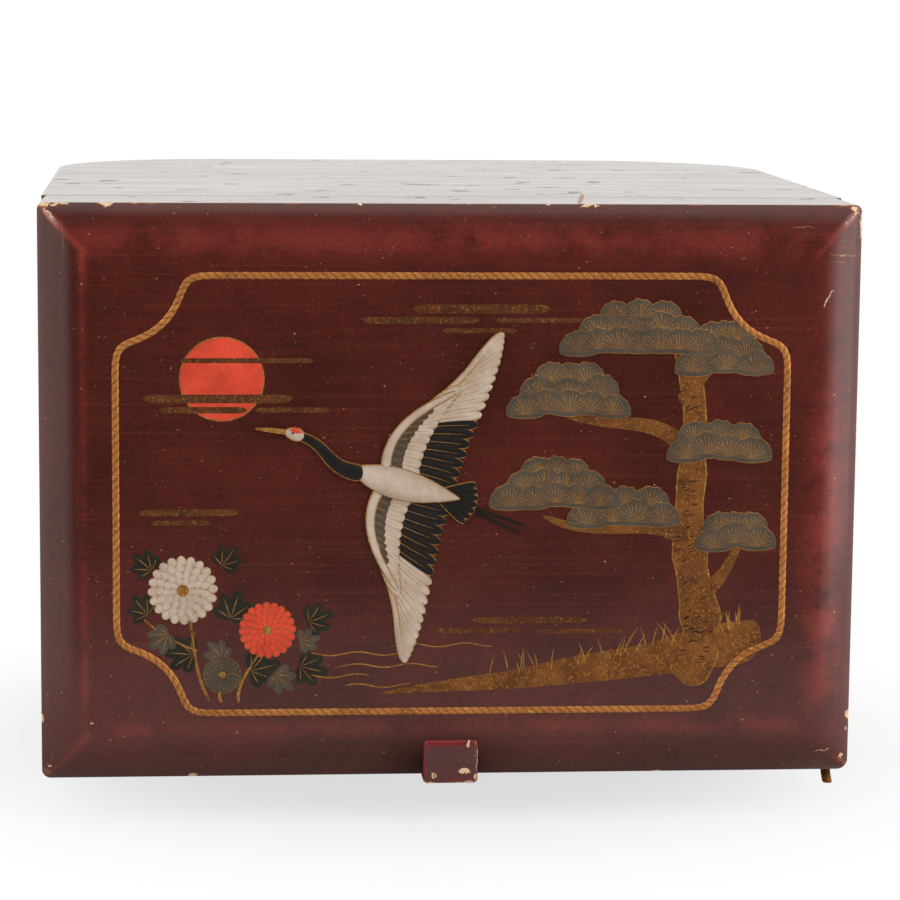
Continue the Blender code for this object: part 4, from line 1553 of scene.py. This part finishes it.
@dataclass
class Picture:
    """Raised gold-lacquer work on the door: a crane, a low sun, a pine and chrysanthemums in a cord."""

    face: float
    middle: float
    finishes: dict[Paint, Finish]
    cord_finish: Finish
    cord_half: Point = (163.0, 107.0)
    cord_notch: float = 33.0
    cord_width: float = 1.65
    cord_height: float = 0.68
    cord_pitch: float = 4.3
    cord_slant: float = 0.42
    cord_groove: Point = (0.42, 0.25)
    cord_bead: float = 0.06
    cord_softness: float = 9.0
    sink: float = 0.25
    shoulder: Point = (-26.0, 6.0)
    heading: float = math.radians(-16)
    crane_scale: float = 0.84
    sun_place: Point = (-112.0, 57.0)
    sun_radius: float = 20.0
    shells: dict[Paint, list[Shell]] = field(default_factory=dict)

    def add(
        self,
        paint: Paint,
        spines: Array,
        left: Array,
        base: Array | float,
        lift: float,
        across: int = 5,
        shade: float = 0.0,
        right: Array | None = None,
    ) -> None:
        """Add closed raised strokes of one paint.

        Across a stroke, v goes from -1 to 1. A point lies v half widths off the spine, and stands
        base + lift (1 - v squared) in front of the door. The sides go straight down into the door.

        Args:
            paint: The paint.
            spines: Points as stroke, place, axis.
            left: Half widths on the left of the spine at each place, for all or for each stroke.
            base: Height of the stroke's edge, for all or for each stroke.
            lift: Height of its crest over its edge.
            across: Number of points across the stroke.
            shade: Strength of a painted shade at the edge. It fades by the cube of v to none at the crest.
            right: Half widths on the right, if they differ.
        """
        left = np.broadcast_to(left, spines.shape[:2])
        right = left if right is None else np.broadcast_to(right, spines.shape[:2])
        tangent = np.gradient(spines, axis=1)
        tangent /= np.maximum(np.linalg.norm(tangent, axis=-1, keepdims=True), 1e-9)
        normal = turned(tangent)
        v = np.concatenate([[-1], np.linspace(-1, 1, across), [1]])
        reach = np.where(v < 0, right[..., None], left[..., None]) * v
        place = spines[:, :, None, :] + normal[:, :, None, :] * reach[..., None]
        full = np.maximum((left + right).max(axis=1, keepdims=True), 1e-9)
        taper = np.minimum(1, (left + right) / (0.6 * full))[..., None]
        edge = np.broadcast_to(base, (len(spines),))[:, None, None]
        crest = edge + lift * taper * (1 - v**2)
        crest[..., [0, -1]] = -self.sink
        x, y, z = place[..., 0] * MM, self.face - crest * MM, self.middle + place[..., 1] * MM
        points = np.stack([x, y, z], axis=-1)
        count, rows, columns = points.shape[:3]
        starts = np.arange(count)[:, None, None] * rows * columns
        faces = (grid_faces(rows, columns)[None] + starts).reshape(-1, 4)
        # Painted shade at the stroke's edges, which rides in the shell's wear
        rim = np.broadcast_to(shade * np.abs(v) ** 3, crest.shape)
        self.shells.setdefault(paint, []).append(Shell(points.reshape(-1, 3), faces, rim.ravel()))

    def disc(self, paint: Paint, centre: Point, radius: float, base: float, lift: float) -> None:
        """Add a round spot: a stroke as wide as a circle, at a base height and with a lift over it."""
        self.add(paint, *circles(np.array([centre]), np.array([radius]), stations(19)), base, lift)

    def line(
        self, paint: Paint, control: list[Point], widths: Point, base: float, lift: float = 0.06
    ) -> None:
        """Add one stroke along a Bezier curve, with pointed ends.

        Args:
            paint: The paint.
            control: Control points of the curve.
            widths: Half width at the start and at the end.
            base: Height of the stroke's edge.
            lift: Height of its crest over its edge.
        """
        t = stations(24)
        width = (widths[0] + (widths[1] - widths[0]) * t) * blunt(t, 0.08, 0.12)
        self.add(paint, bezier(control, t)[None], width, base, lift)

    def edged(
        self, paint: Paint, spines: Array, widths: Array, base: Array | float, lift: float, rim: float = 0.42
    ) -> None:
        """Add gold-rimmed strokes: a wider gold stroke a little lower, and on it the paint with painted edge
        shade.

        Args:
            paint: The paint.
            spines: Points as stroke, place, axis.
            widths: Half widths at each place, for all strokes or for each.
            base: Height of the rim's edge, for all or for each stroke.
            lift: Height of the paint's crest over its edge.
            rim: Width of the rim.
        """
        self.add(Paint.LINE, spines, widths + rim * (widths > 0.05), base, 0.02, 3)
        self.add(paint, spines, widths, np.asarray(base) + 0.022, lift, 5, 0.6)

    def build(self) -> None:
        """Paint everything, from the ground up, and make one piece for each paint."""
        self.sky()
        self.shore()
        self.chrysanthemums()
        self.pine()
        self.crane()
        for paint, shells in self.shells.items():
            name = f"picture_{paint.value}"
            shell = Shell.joined(shells)
            # The paints' shells carry their painted edge shade in their wear
            marks = {Mark.GROOVE_AND_EDGE_SHADE: shell.wear}
            Piece(name, shell, (self.finishes[paint],), Body.DOOR, Slot.RED, marks=marks).build()
        self.cord()

    def sky(self) -> None:
        """Paint the sun and bands of mist across it."""
        self.disc(Paint.LINE, self.sun_place, self.sun_radius + 0.6, 0.01, 0.0)
        self.disc(Paint.RED, self.sun_place, self.sun_radius, 0.03, 0.02)
        bands = [(-150, -78, 47.5, 2.1), (-142, -100, 42.0, 1.6), (-96, -60, 42.0, 1.3)]
        bands += [(-132, -68, 66.0, 1.2), (-20, 46, 91.0, 2.2), (-44, 12, 85.5, 1.7), (20, 64, 85.5, 1.2)]
        bands += [(-6, 30, 80.5, 1.2), (-152, -104, -8.0, 1.6), (-146, -118, -13.0, 1.2)]
        bands += [(10, 66, -62.0, 1.6), (-8, 34, -67.0, 1.3), (42, 84, -67.5, 1.1)]
        start, end, level, half = np.array(bands).T[..., None]
        t = stations(25)
        x = start + (end - start) * t
        spines = np.stack([x, np.broadcast_to(level, x.shape)], axis=-1)
        run = 3 * half / (end - start)
        width = half * blunt(t, run, run)
        self.add(Paint.MIST, spines, width, 0.06, 0.03)

    def shore(self) -> None:
        """Paint the gold bank under the pine, with grass on it and ripples before it."""
        t = stations(40)
        rim = [(-34, -98), (30, -92), (80, -84), (134, -72), (152, -66)]
        bank = bezier(rim, t)
        up = (3 + 5 * t) * blunt(t, 0.3, 0.2) * (1 + 0.12 * np.sin(19 * t))
        down = (1 + 17 * t) * blunt(t, 0.3, 0.16)
        self.add(Paint.GROUND, bank[None], up, 0.02, 0.05, right=down)
        rng = np.random.default_rng(4)
        count = 46
        at = rng.uniform(0.16, 0.9, count)
        roots = bezier(rim, at)
        roots[:, 1] += rng.uniform(0, 5, count)
        angles = math.pi / 2 + rng.uniform(-0.5, 0.5, count)
        lengths = rng.uniform(5, 13, count)
        s = stations(7)
        spines = fan(roots, angles, lengths, rng.uniform(-0.3, 0.3, count), s)
        self.add(Paint.LINE, spines, 0.34 * np.sin(math.pi * s**0.6), 0.08, 0.05, 3)
        ripples = [(-70, -24, -78), (-58, -6, -84), (-74, -40, -89), (-30, 20, -74), (-52, -20, -94)]
        start, end, level = np.array(ripples).T[..., None]
        x = start + (end - start) * t
        z = level + 0.9 * np.sin(x / 4.2)
        self.add(Paint.LINE, np.stack([x, z], axis=-1), 0.3 * blunt(t, 0.2, 0.2), 0.04, 0.04, 3)

    def blossom(self, paint: Paint, centre: Point, radius: float, base: float) -> None:
        """Paint a chrysanthemum: four rings of petals, each shorter and higher, round a gold eye.

        Args:
            paint: Paint of its petals.
            centre: Its middle.
            radius: Its radius.
            base: Height of its lowest petal.
        """
        t = stations(9)
        for ring, (count, share) in enumerate(((20, 1.0), (17, 0.8), (13, 0.58), (9, 0.36))):
            angles = np.linspace(0, 2 * math.pi, count, endpoint=False) + ring * 0.17
            start = 0.1 * radius
            roots = np.array(centre) + start * facing(angles)
            spines = fan(roots, angles, np.full(count, radius * share - start), 0.06, t)
            width = 0.125 * radius * (0.75 + 0.4 * share) * blunt(t, 0.95, 0.24)
            heights = base + 0.1 * ring + 0.004 * np.arange(count)
            self.edged(paint, spines, width, heights, 0.08, 0.3)
        self.disc(Paint.LINE, centre, 0.17 * radius, base + 0.5, 0.12)

    def leaf(self, paint: Paint, root: Point, angle: float, length: float, base: float) -> None:
        """Paint a lobed leaf: five blades in a fan, with a gold vein on each.

        Args:
            paint: Its paint.
            root: Where its stalk ends.
            angle: Its direction.
            length: Its length.
            base: Height of its lowest blade.
        """
        t = stations(9)
        turns = np.radians([-74, -36, 0, 36, 74]) + angle
        lengths = length * np.array([0.62, 0.86, 1.0, 0.86, 0.62])
        roots = np.repeat(np.array([root], float), 5, axis=0)
        spines = fan(roots, turns, lengths, 0.05, t)
        width = 0.2 * length * blunt(t, 0.7, 0.42)
        self.add(paint, spines, width, base + 0.004 * np.arange(5), 0.05)
        veins = fan(roots, turns, lengths * 0.82, 0.05, t)
        self.add(Paint.LINE, veins, 0.2 * np.sin(math.pi * t), base + 0.07, 0.02, 3)

    def chrysanthemums(self) -> None:
        """Paint three blossoms on their stems, with leaves, at the lower left."""
        stems = [
            [(-118, -101), (-128, -84), (-124, -66), (-131, -48)],
            [(-104, -102), (-106, -90), (-94, -82), (-90, -68)],
            [(-112, -102), (-116, -96), (-110, -92), (-112, -88)],
            [(-124, -76), (-140, -70), (-150, -60)],
        ]
        for control in stems:
            self.line(Paint.LINE, control, (0.8, 0.5), 0.04)
        dark = [(-126, -78, 3.0, 15), (-98, -86, 0.2, 15), (-108, -60, 1.2, 15), (-148, -58, 2.2, 12)]
        dark += [(-70, -62, 0.3, 13), (-74, -84, -0.3, 14), (-146, -36, 2.4, 12), (-112, -34, 0.9, 12)]
        green = [(-138, -68, 3.7, 12), (-112, -80, 2.2, 11), (-86, -88, -0.8, 12), (-74, -72, 0.2, 10)]
        for paint, base, leaves in ((Paint.LEAF, 0.03, dark), (Paint.GREEN, 0.1, green)):
            for x, z, angle, length in leaves:
                self.leaf(paint, (x, z), angle, length, base)
        self.blossom(Paint.WHITE, (-131, -46), 17.0, 0.2)
        self.blossom(Paint.RED, (-90, -66), 14.0, 0.2)
        self.blossom(Paint.GREEN, (-112, -88), 9.5, 0.2)

    def pine(self) -> None:
        """Paint the pine: an old bent trunk with bark scales, and pads of needles in rows of fans."""
        t = stations(40)
        trunk = [(112, -92), (150, -56), (76, -30), (146, 20), (104, 82)]
        rough = 1 + 0.08 * np.sin(31 * t) + 0.05 * np.sin(57 * t + 1)
        width = (10.5 - 6.5 * t) * rough * blunt(t, 0.05, 0.1)
        spine = bezier(trunk, t)[None]
        self.add(Paint.LINE, spine, width + 0.6 * (width > 0.1), 0.06, 0.02, 3)
        self.add(Paint.GROUND, spine, width, 0.09, 0.18)
        branches = [
            [(116, -24), (98, -6), (74, -26), (44, -10)],
            [(112, 24), (96, 42), (74, 30), (50, 42)],
            [(112, 44), (122, 66), (138, 70)],
            [(120, -50), (134, -46), (142, -20)],
        ]
        for control in branches:
            self.line(Paint.GROUND, control, (4.4, 1.6), 0.08, 0.14)
        rng = np.random.default_rng(11)
        count = 60
        at = rng.uniform(0.06, 0.92, count)
        centre = bezier(trunk, at)
        ahead = bezier(trunk, at + 0.01) - bezier(trunk, at - 0.01)
        ahead /= np.linalg.norm(ahead, axis=1, keepdims=True)
        aside = turned(ahead)
        reach = (9.0 - 6.0 * at) * rng.uniform(-0.8, 0.8, count)
        roots = centre + aside * reach[:, None]
        s = stations(7)
        angles = np.arctan2(aside[:, 1], aside[:, 0]) + rng.uniform(-0.3, 0.3, count)
        scales = fan(roots, angles, rng.uniform(2.5, 4.5, count), 0.35, s)
        self.add(Paint.BLACK, scales, 0.3 * np.sin(math.pi * s), 0.27, 0.02, 3)
        pads = [(50, -6, 27, 3), (84, -15, 22, 2), (56, 40, 26, 3), (90, 70, 36, 3), (132, 60, 18, 3)]
        pads += [(139, -26, 13, 2), (130, 18, 20, 2)]
        for number, pad in enumerate(pads):
            self.pad(number, *pad)

    def pad(self, number: int, x: float, z: float, half: float, rows: int) -> None:
        """Paint one pad of needles: rows of half-round fans, the lower ones in front.

        Args:
            number: The pad's number, which sets its height.
            x: Middle of its lower edge.
            z: Height of its lower edge.
            half: Half its width.
            rows: Number of rows.
        """
        t = stations(17)
        s = stations(6)
        rng = np.random.default_rng(20 + number)
        level = 0.3 + 0.02 * number
        for row in range(rows - 1, -1, -1):
            share = 1 - 0.3 * row
            count = max(3, round(half * share / 5.2))
            xs = x + np.linspace(-1, 1, count) * half * share * 0.82
            zs = z + 7.2 * row + 2.2 * np.cos((xs - x) / half * 1.5) + rng.uniform(-0.8, 0.8, count)
            radius = rng.uniform(9.0, 10.6, count) * (1 - 0.06 * row)
            spines, round_top = circles(np.stack([xs, zs], axis=1), radius, t)
            scallop = 1 + 0.05 * np.cos(11 * np.arccos(np.clip(2 * t - 1, -1, 1)))
            heights = level + 0.012 * np.arange(count)
            upper, lower = round_top * scallop, 0.26 * round_top
            self.add(Paint.LINE, spines, upper + 0.4, heights - 0.02, 0.0, 3, right=lower + 0.3)
            self.add(Paint.GREEN, spines, upper, heights, 0.1, right=lower)
            needles = 13
            turn = np.radians(np.linspace(8, 172, needles))
            roots = np.repeat(np.stack([xs, zs - 0.6], axis=-1), needles, axis=0)
            angles = np.tile(turn, count) + rng.uniform(-0.05, 0.05, count * needles)
            lengths = np.repeat(radius, needles) * rng.uniform(0.82, 0.98, count * needles)
            strokes = fan(roots, angles, lengths, 0.0, s)
            tops = np.repeat(heights, needles) + 0.07
            self.add(Paint.LINE, strokes, 0.19 * blunt(s, 0.2, 0.6), tops, 0.05, 3)
            level += 0.1

    def on_crane(self, local: Array, side: int = 1) -> Array:
        """Turn and place points that are given back along the crane's body and out from it.

        Args:
            local: The points.
            side: 1 for points above the body, -1 for points below it.

        Returns:
            The points in the picture.
        """
        back = np.array([math.cos(self.heading), math.sin(self.heading)])
        out = np.array([-back[1], back[0]]) * side
        moved = local[..., :1] * back + local[..., 1:] * out
        return np.array(self.shoulder) + self.crane_scale * moved

    def limb(self, control: list[Point], t: Array, side: int = 1) -> Array:
        """Return the crane's spine along a Bezier curve, as a single stroke."""
        return self.on_crane(bezier(control, t), side)[None]

    def wing(self, side: int, base: float) -> None:
        """Paint one wing: long feathers along a bent bone, then two rows of coverts over them.

        Args:
            side: 1 for the wing above the body, -1 for the one below.
            base: Height of its lowest layer.
        """
        t = stations(12)
        bone = [(-8, 1), (-20, 26), (0, 46), (16, 60)]
        rows = [
            (19, 38.0, 46.0, 3.0, 0.07, None, 1.0),
            (13, 18.0, 21.0, 2.9, 0.08, Paint.WHITE, 0.74),
            (11, 8.5, 10.0, 2.5, 0.06, Paint.GREEN, 0.62),
        ]
        for row, (count, short, long, width, lift, paint, end) in enumerate(rows):
            at = np.linspace(0.04, end, count)
            roots = bezier(bone, at)
            angles = np.radians(3 + 70 * at**1.25)
            lengths = short + (long - short) * np.sin(math.pi * (0.15 + 0.6 * at))
            local = fan(roots, angles, lengths, -0.10, t)
            spines = self.on_crane(local, side)
            widths = width * self.crane_scale * blunt(t, 0.8, 0.16)
            heights = base + 0.16 * row + 0.005 * np.arange(count)
            if paint is None:
                inner = at < 0.42
                self.edged(Paint.BLACK, spines[inner], widths, heights[inner], lift)
                self.edged(Paint.WHITE, spines[~inner], widths, heights[~inner], lift)
            else:
                self.edged(paint, spines, widths, heights, lift)
            quills = self.on_crane(fan(roots, angles, lengths * 0.9, -0.10, t), side)
            self.add(Paint.LINE, quills, 0.16 * blunt(t, 0.1, 0.7), heights + 0.09, 0.03, 3)
        s = stations(24)
        arm = self.limb(bone, s, side)
        self.edged(Paint.WHITE, arm, (2.3 - 1.1 * s) * blunt(s, 0.1, 0.12), base + 0.5, 0.12)

    def crane(self) -> None:
        """Paint the crane in flight: both wings spread, neck and legs stretched out."""
        t = stations(20)
        self.wing(-1, 0.5)
        for end in ((76, -9), (78, -4)):
            leg = self.limb([(30, -1), (52, end[1] * 0.6), end], t)
            self.add(Paint.BLACK, leg, 0.75 * blunt(t, 0.1, 0.5), 0.5, 0.1, 3)
        s = stations(11)
        count = 7
        angles = np.radians(np.linspace(-27, 27, count))
        lengths = 24 + 3 * np.cos(2 * angles)
        tail = fan(np.repeat([[20.0, 0.0]], count, axis=0), angles, lengths, 0.0, s)
        widths = 1.75 * blunt(s, 0.9, 0.2)
        self.edged(Paint.BLACK, self.on_crane(tail), widths, 1.05 + 0.006 * np.arange(count), 0.08)
        self.wing(1, 0.9)
        body = self.limb([(-30, 1), (-8, -1), (14, 0), (36, 1)], t)
        self.edged(Paint.WHITE, body, 7.4 * np.sin(math.pi * t**0.85) ** 0.9, 1.5, 0.35)
        neck = self.limb([(-22, 0), (-46, -4), (-44, 12), (-66, 11)], t)
        self.edged(Paint.BLACK, neck, (4.2 - 2.4 * t**0.7) * blunt(t, 0.06, 0.05), 1.7, 0.3)
        head = self.limb([(-61, 11.2), (-66, 11.6), (-72, 11)], t)
        self.edged(Paint.WHITE, head, 2.9 * blunt(t, 0.4, 0.6), 1.95, 0.25)
        beak = self.limb([(-70, 11.2), (-80, 10), (-89, 8)], t)
        self.add(Paint.LINE, beak, 1.25 * blunt(t, 0.05, 1.0), 1.9, 0.2)
        crown = self.limb([(-62.5, 13), (-66, 14.2), (-70, 12.8)], t)
        self.add(Paint.RED, crown, 1.35 * np.sin(math.pi * t), 2.2, 0.15)
        self.disc(Paint.BLACK, self.on_crane(np.array([-67.6, 11.6])), 0.55, 2.25, 0.05)

    def cord(self) -> None:
        """Lay the twisted cord round the picture, along a rectangle with hollow corners.

        The path is evened out by a moving bell curve. Across the cord, v goes from -1 to 1. Its
        section is a half round, cut by slanting grooves of a width and a depth where the plies meet.
        """
        a, b = self.cord_half
        r = self.cord_notch
        turn = np.radians(np.linspace(270, 180, 60))
        arc = np.array(self.cord_half) + r * facing(turn)
        corner = np.concatenate([[[a, 0.0]], arc, [[0.0, b]]])
        upper = np.concatenate([corner[:-1], corner[::-1] * np.array([-1, 1])])
        path = np.concatenate([upper[:-1], upper[:-1] * -1, upper[:1]])
        way = np.concatenate([[0], np.cumsum(np.linalg.norm(np.diff(path, axis=0), axis=1))])
        count = 2400
        even = np.linspace(0, way[-1], count, endpoint=False)
        spine = np.stack([np.interp(even, way, path[:, axis]) for axis in (0, 1)], axis=1)
        window = 60
        away = np.arange(-window, window + 1) * way[-1] / count
        weights = bell(away, 0, self.cord_softness)
        weights /= weights.sum()
        longer = np.concatenate([spine[-window:], spine, spine[:window]])
        spine = np.stack([np.convolve(longer[:, axis], weights, "valid") for axis in (0, 1)], axis=1)
        tangent = np.roll(spine, -1, axis=0) - np.roll(spine, 1, axis=0)
        tangent /= np.linalg.norm(tangent, axis=1, keepdims=True)
        normal = turned(tangent)
        v = np.linspace(-1, 1, 11)
        turns = round(way[-1] / self.cord_pitch)
        phase = even[:, None] / way[-1] * turns + self.cord_slant * v[None, :]
        ply = np.abs(np.sin(math.pi * phase))
        wide, deep = self.cord_groove
        groove = climb(ply, wide, 0)
        reach = self.cord_width * v[None, :] * (1 + self.cord_bead * ply)
        place = spine[:, None, :] + normal[:, None, :] * reach[..., None]
        height = self.cord_height * np.sqrt(np.maximum(1 - v**2, 0)) - deep * groove * (1 - v**2)
        x, z = place[..., 0] * MM, self.middle + place[..., 1] * MM
        y = self.face - height * MM
        points = np.stack([x, y, z], axis=-1)
        under = (points[:, [-1, 0]] + np.array([0, self.sink * MM, 0])).reshape(count, 2, 3)
        ring = np.concatenate([points, under], axis=1)
        grooved = np.concatenate([groove, np.zeros((count, 2))], axis=1)
        shell = Shell.of_grid(ring, np.zeros(count), True)
        marks = {Mark.GROOVE_AND_EDGE_SHADE: grooved.ravel()}
        finishes = (self.cord_finish,)
        Piece(
            "picture_cord", shell, finishes, Body.DOOR, Slot.RED, marks=marks, sharp_angle=60.0
        ).build()


# Studio


@dataclass(frozen=True)
class PaleTop(Finish):
    """A pale matt table top that fades to white at its rim, also in the gloss of the lacquer."""

    colour: str = "#cbcac8"
    least_white: float = 0.7
    gleam_shift: Triple = (0.06, -0.035, 0.0)
    gleam_shape: Triple = (1.0, 0.7, 1.0)

    # Distances in metres over which the white comes up for the eye and for the gloss
    rim_ramp: ClassVar[Ramp] = {START: 0.12, END: 0.36}
    gleam_ramp: ClassVar[Ramp] = {START: 0.34, END: 0.56}

    def shader(self, tree: Tree) -> Node:
        """Mix the matt top with plain white by the distance from its middle.

        Args:
            tree: The material's node tree.

        Returns:
            The shader.
        """
        place = add_node(tree, "TexCoord").outputs["Object"]
        away = add_node(tree, "VectorMath", LENGTH, {0: place})
        rim = add_node(tree, "MapRange", SMOOTH, {VALUE: away, **self.rim_ramp, LEAST: self.least_white})
        path = add_node(tree, "LightPath").outputs
        seen = add_node(tree, "Math", GREATER, {0: path["Is Camera Ray"], 1: path["Is Transmission Ray"]})
        seen = add_node(tree, "Math", TIMES, {0: rim, 1: seen})
        inputs = {"Vector": place, "Location": self.gleam_shift, "Scale": self.gleam_shape}
        off = add_node(tree, "Mapping", None, inputs)
        off = add_node(tree, "VectorMath", LENGTH, {0: off})
        outer = add_node(tree, "MapRange", SMOOTH, {VALUE: off, **self.gleam_ramp})
        gleam = add_node(tree, "Math", TIMES, {0: outer, 1: path["Is Glossy Ray"]})
        share = add_node(tree, "Math", GREATER, {0: seen, 1: gleam})
        matt = add_node(tree, "BsdfDiffuse", None, {"Color": linear(self.colour)})
        white = add_node(tree, "Emission", None, {"Color": (1, 1, 1, 1), "Strength": 1.0})
        return add_node(tree, "MixShader", None, {0: share, 1: matt, 2: white})


@dataclass(frozen=True)
class Lamp:
    """A square softbox: its name, place, length of side and watts, and the point that it faces."""

    name: str
    place: Triple
    size: float
    power: float
    target: Triple = (0.0, 0.0, 0.16)

    def hang(self) -> None:
        """Hang the softbox and turn it to its target."""
        data = bpy.data.lights.new(self.name, "AREA")
        data.size = self.size
        data.energy = self.power
        lamp = bpy.data.objects.new(self.name, data)
        lamp.location = self.place
        lamp.rotation_mode = "QUATERNION"
        lamp.rotation_quaternion = (Vector(self.target) - Vector(self.place)).to_track_quat("-Z", "Y")
        bpy.context.scene.collection.objects.link(lamp)


@dataclass
class Studio:
    """A pale table with soft light, and the camera at the photograph's angle.

    The room is white all round but dim about the camera, so that the flat front keeps its depth
    and its side borders shine.
    """

    lens_pixels: float = 3200.0
    camera_place: Triple = (-0.1298, -1.7245, 0.4114)
    yaw: float = 4.788
    pitch: float = -8.342
    roll: float = 0.528
    table_finish: Finish = PaleTop("pale_table_top")
    table_radii: Quad = (0.0, 0.4, 0.8, 1.6)
    table_middle: float = 0.95
    table_breadth: float = 0.95
    room_tint: str = "#fffdf9"
    room_level: float = 1.1
    dim_level: float = 0.06
    dim_shape: Triple = (1.0, 1.0, 0.15)
    lamps: tuple[Lamp, ...] = (
        Lamp("key_light", (1.45, -0.8, 1.2), 0.9, 8.0),
        Lamp("side_light", (1.5, -0.75, 0.3), 1.3, 7.0),
        Lamp("corner_light", (-1.2, -1.2, 1.0), 0.4, 4.0),
    )

    # How straight ahead of the front the room's dim part begins and ends
    dim_ramp: ClassVar[Ramp] = {START: 0.97, END: 0.8}

    def build(self) -> None:
        """Set the camera, the floor, the world and the lamps."""
        self.camera()
        self.floor()
        self.world()
        for lamp in self.lamps:
            lamp.hang()
        bpy.context.scene.view_settings.view_transform = "Standard"

    def camera(self) -> None:
        """Aim the camera by yaw, pitch and roll."""
        yaw, pitch, roll = (math.radians(angle) for angle in (self.yaw, self.pitch, self.roll))
        ahead = Vector((math.sin(yaw) * math.cos(pitch), math.cos(yaw) * math.cos(pitch), math.sin(pitch)))
        level = Vector((math.cos(yaw), -math.sin(yaw), 0))
        over = level.cross(ahead)
        right = math.cos(roll) * level + math.sin(roll) * over
        up = math.cos(roll) * over - math.sin(roll) * level
        data = bpy.data.cameras.new("photo_camera")
        data.sensor_width = 36.0
        data.lens = self.lens_pixels * data.sensor_width / IMAGE_SIDE
        camera = bpy.data.objects.new("photo_camera", data)
        turn = Matrix((right, up, -ahead)).transposed().to_4x4()
        camera.matrix_world = Matrix.Translation(self.camera_place) @ turn
        bpy.context.scene.collection.objects.link(camera)
        bpy.context.scene.camera = camera

    def floor(self) -> None:
        """Lay the oval table top."""
        columns = 96
        turns = np.linspace(0, 2 * math.pi, columns, endpoint=False)
        radii = np.array(self.table_radii)[:, None]
        x = radii * np.cos(turns) * self.table_breadth
        y = self.table_middle + radii * np.sin(turns)
        points = np.stack([x, y, 0 * x], axis=-1)
        mesh = bpy.data.meshes.new("table_top")
        mesh.from_pydata(points.reshape(-1, 3).tolist(), [], grid_faces(len(radii), columns).tolist())
        form = bmesh.new()
        form.from_mesh(mesh)
        bmesh.ops.remove_doubles(form, verts=form.verts, dist=WELD)
        form.to_mesh(mesh)
        form.free()
        mesh.materials.append(self.table_finish.material())
        table = bpy.data.objects.new("table_top", mesh)
        bpy.context.scene.collection.objects.link(table)

    def world(self) -> None:
        """Fill the room with warm white light that dims about the camera."""
        world = bpy.data.worlds.new("white_room")
        world.use_nodes = True
        tree = world.node_tree
        tree.nodes.clear()
        towards = add_node(tree, "TexCoord").outputs["Generated"]
        flatter = add_node(tree, "Mapping", None, {"Vector": towards, "Scale": self.dim_shape})
        flatter = add_node(tree, "VectorMath", {"operation": "NORMALIZE"}, {0: flatter})
        near = add_node(tree, "VectorMath", {"operation": "DOT_PRODUCT"}, {0: flatter, 1: (0, -1, 0)})
        inputs = {VALUE: near, **self.dim_ramp, LEAST: self.dim_level, MOST: self.room_level}
        room = add_node(tree, "MapRange", SMOOTH, inputs)
        path = add_node(tree, "LightPath").outputs
        seen = add_node(tree, "Math", GREATER, {0: path["Is Camera Ray"], 1: path["Is Transmission Ray"]})
        level = add_node(tree, "Mix", None, {SHARE: seen, FIRST: room, SECOND: 1.0})
        inputs = {SHARE: seen, UNDER: linear(self.room_tint), OVER: (1, 1, 1, 1)}
        colour = add_node(tree, "Mix", COLOURS, inputs)
        light = add_node(tree, "Background", None, {"Color": colour, "Strength": level})
        add_node(tree, "OutputWorld", None, {"Surface": light})
        bpy.context.scene.world = world


def main() -> None:
    """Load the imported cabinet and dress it, piece by piece."""
    logging.basicConfig(level=logging.INFO, format="%(name)s: %(message)s")
    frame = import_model()
    Studio().build()
    front = Lacquer(
        "brushed_red_lacquer",
        colour="#57221b",
        shade="#451b14",
        glow="#6a2a1e",
        speck_share=0.8,
        glow_share=0.3,
        chips=FRONT_CHIPS,
    )
    top = Lacquer(
        "brushed_brown_lacquer",
        colour="#5a3a30",
        shade="#3a2620",
        glow="#6a463a",
        roughness=0.16,
        brush_run=(0.07, 0.008, 0.07),
        ridge=0.03,
        matt_share=0.99,
        chips=TOP_CHIPS,
    )
    wall = Lacquer("brushed_wall_lacquer", colour="#4f241d", shade="#3b1a15", glow="#5d2c22")
    inner = Lacquer("matt_inner_lacquer", colour="#2a1a15", shade="#1e1310", glow="#33201a", roughness=0.42)
    tab = Lacquer(
        "handled_red_lacquer",
        colour="#5a3130",
        shade="#492626",
        glow="#6a3633",
        thin="#8c1a1a",
        roughness=0.3,
        chips=TAB_CHIPS,
    )
    brass = AgedBrass("aged_brass_wire")
    hinge = RodHinge(tuple(frame["joints"][0]["pos_m"][:2]), brass)
    door = Door(hinge, front, top, inner, tab)
    door.build()
    Carcass(hinge, wall, top, inner, Softwood("planed_softwood"), wall).build()
    hinge.build(frame["nodes"])
    paints = {
        Paint.MIST: GoldLacquer("sprinkled_gold", "#6e3d1f", "#55301a", "#93602c", worn_share=0.8),
        Paint.GROUND: GoldLacquer("old_gold_lacquer", "#8a5527", "#6b3d1c", "#a8722f"),
        Paint.LINE: GoldLacquer("drawn_gold_lacquer", "#b07a36", "#8d5a26", "#cf9a4c"),
        Paint.GREEN: ColouredLacquer("grey_green_lacquer", "#5c5143", "#4a4136", "#3a2f26"),
        Paint.LEAF: ColouredLacquer("dark_green_lacquer", "#2b2a1e", "#211f17", "#4a211b"),
        Paint.WHITE: ColouredLacquer("shell_white_paint", "#d6c2af", "#bda893", "#9c8570"),
        Paint.BLACK: ColouredLacquer("lamp_black_lacquer", "#1b1917", "#131210", "#33281f"),
        Paint.RED: ColouredLacquer("vermilion_lacquer", "#ee5339", "#cf442e", "#9c3022"),
    }
    cord = GoldLacquer("gold_cord_lacquer", "#c98140", "#ae6a32", "#dba464", "#5c2c12", 0.35)
    Picture(door.box.low.y, door.middle[1], paints, cord).build()


if __name__ == "__main__":
    main()
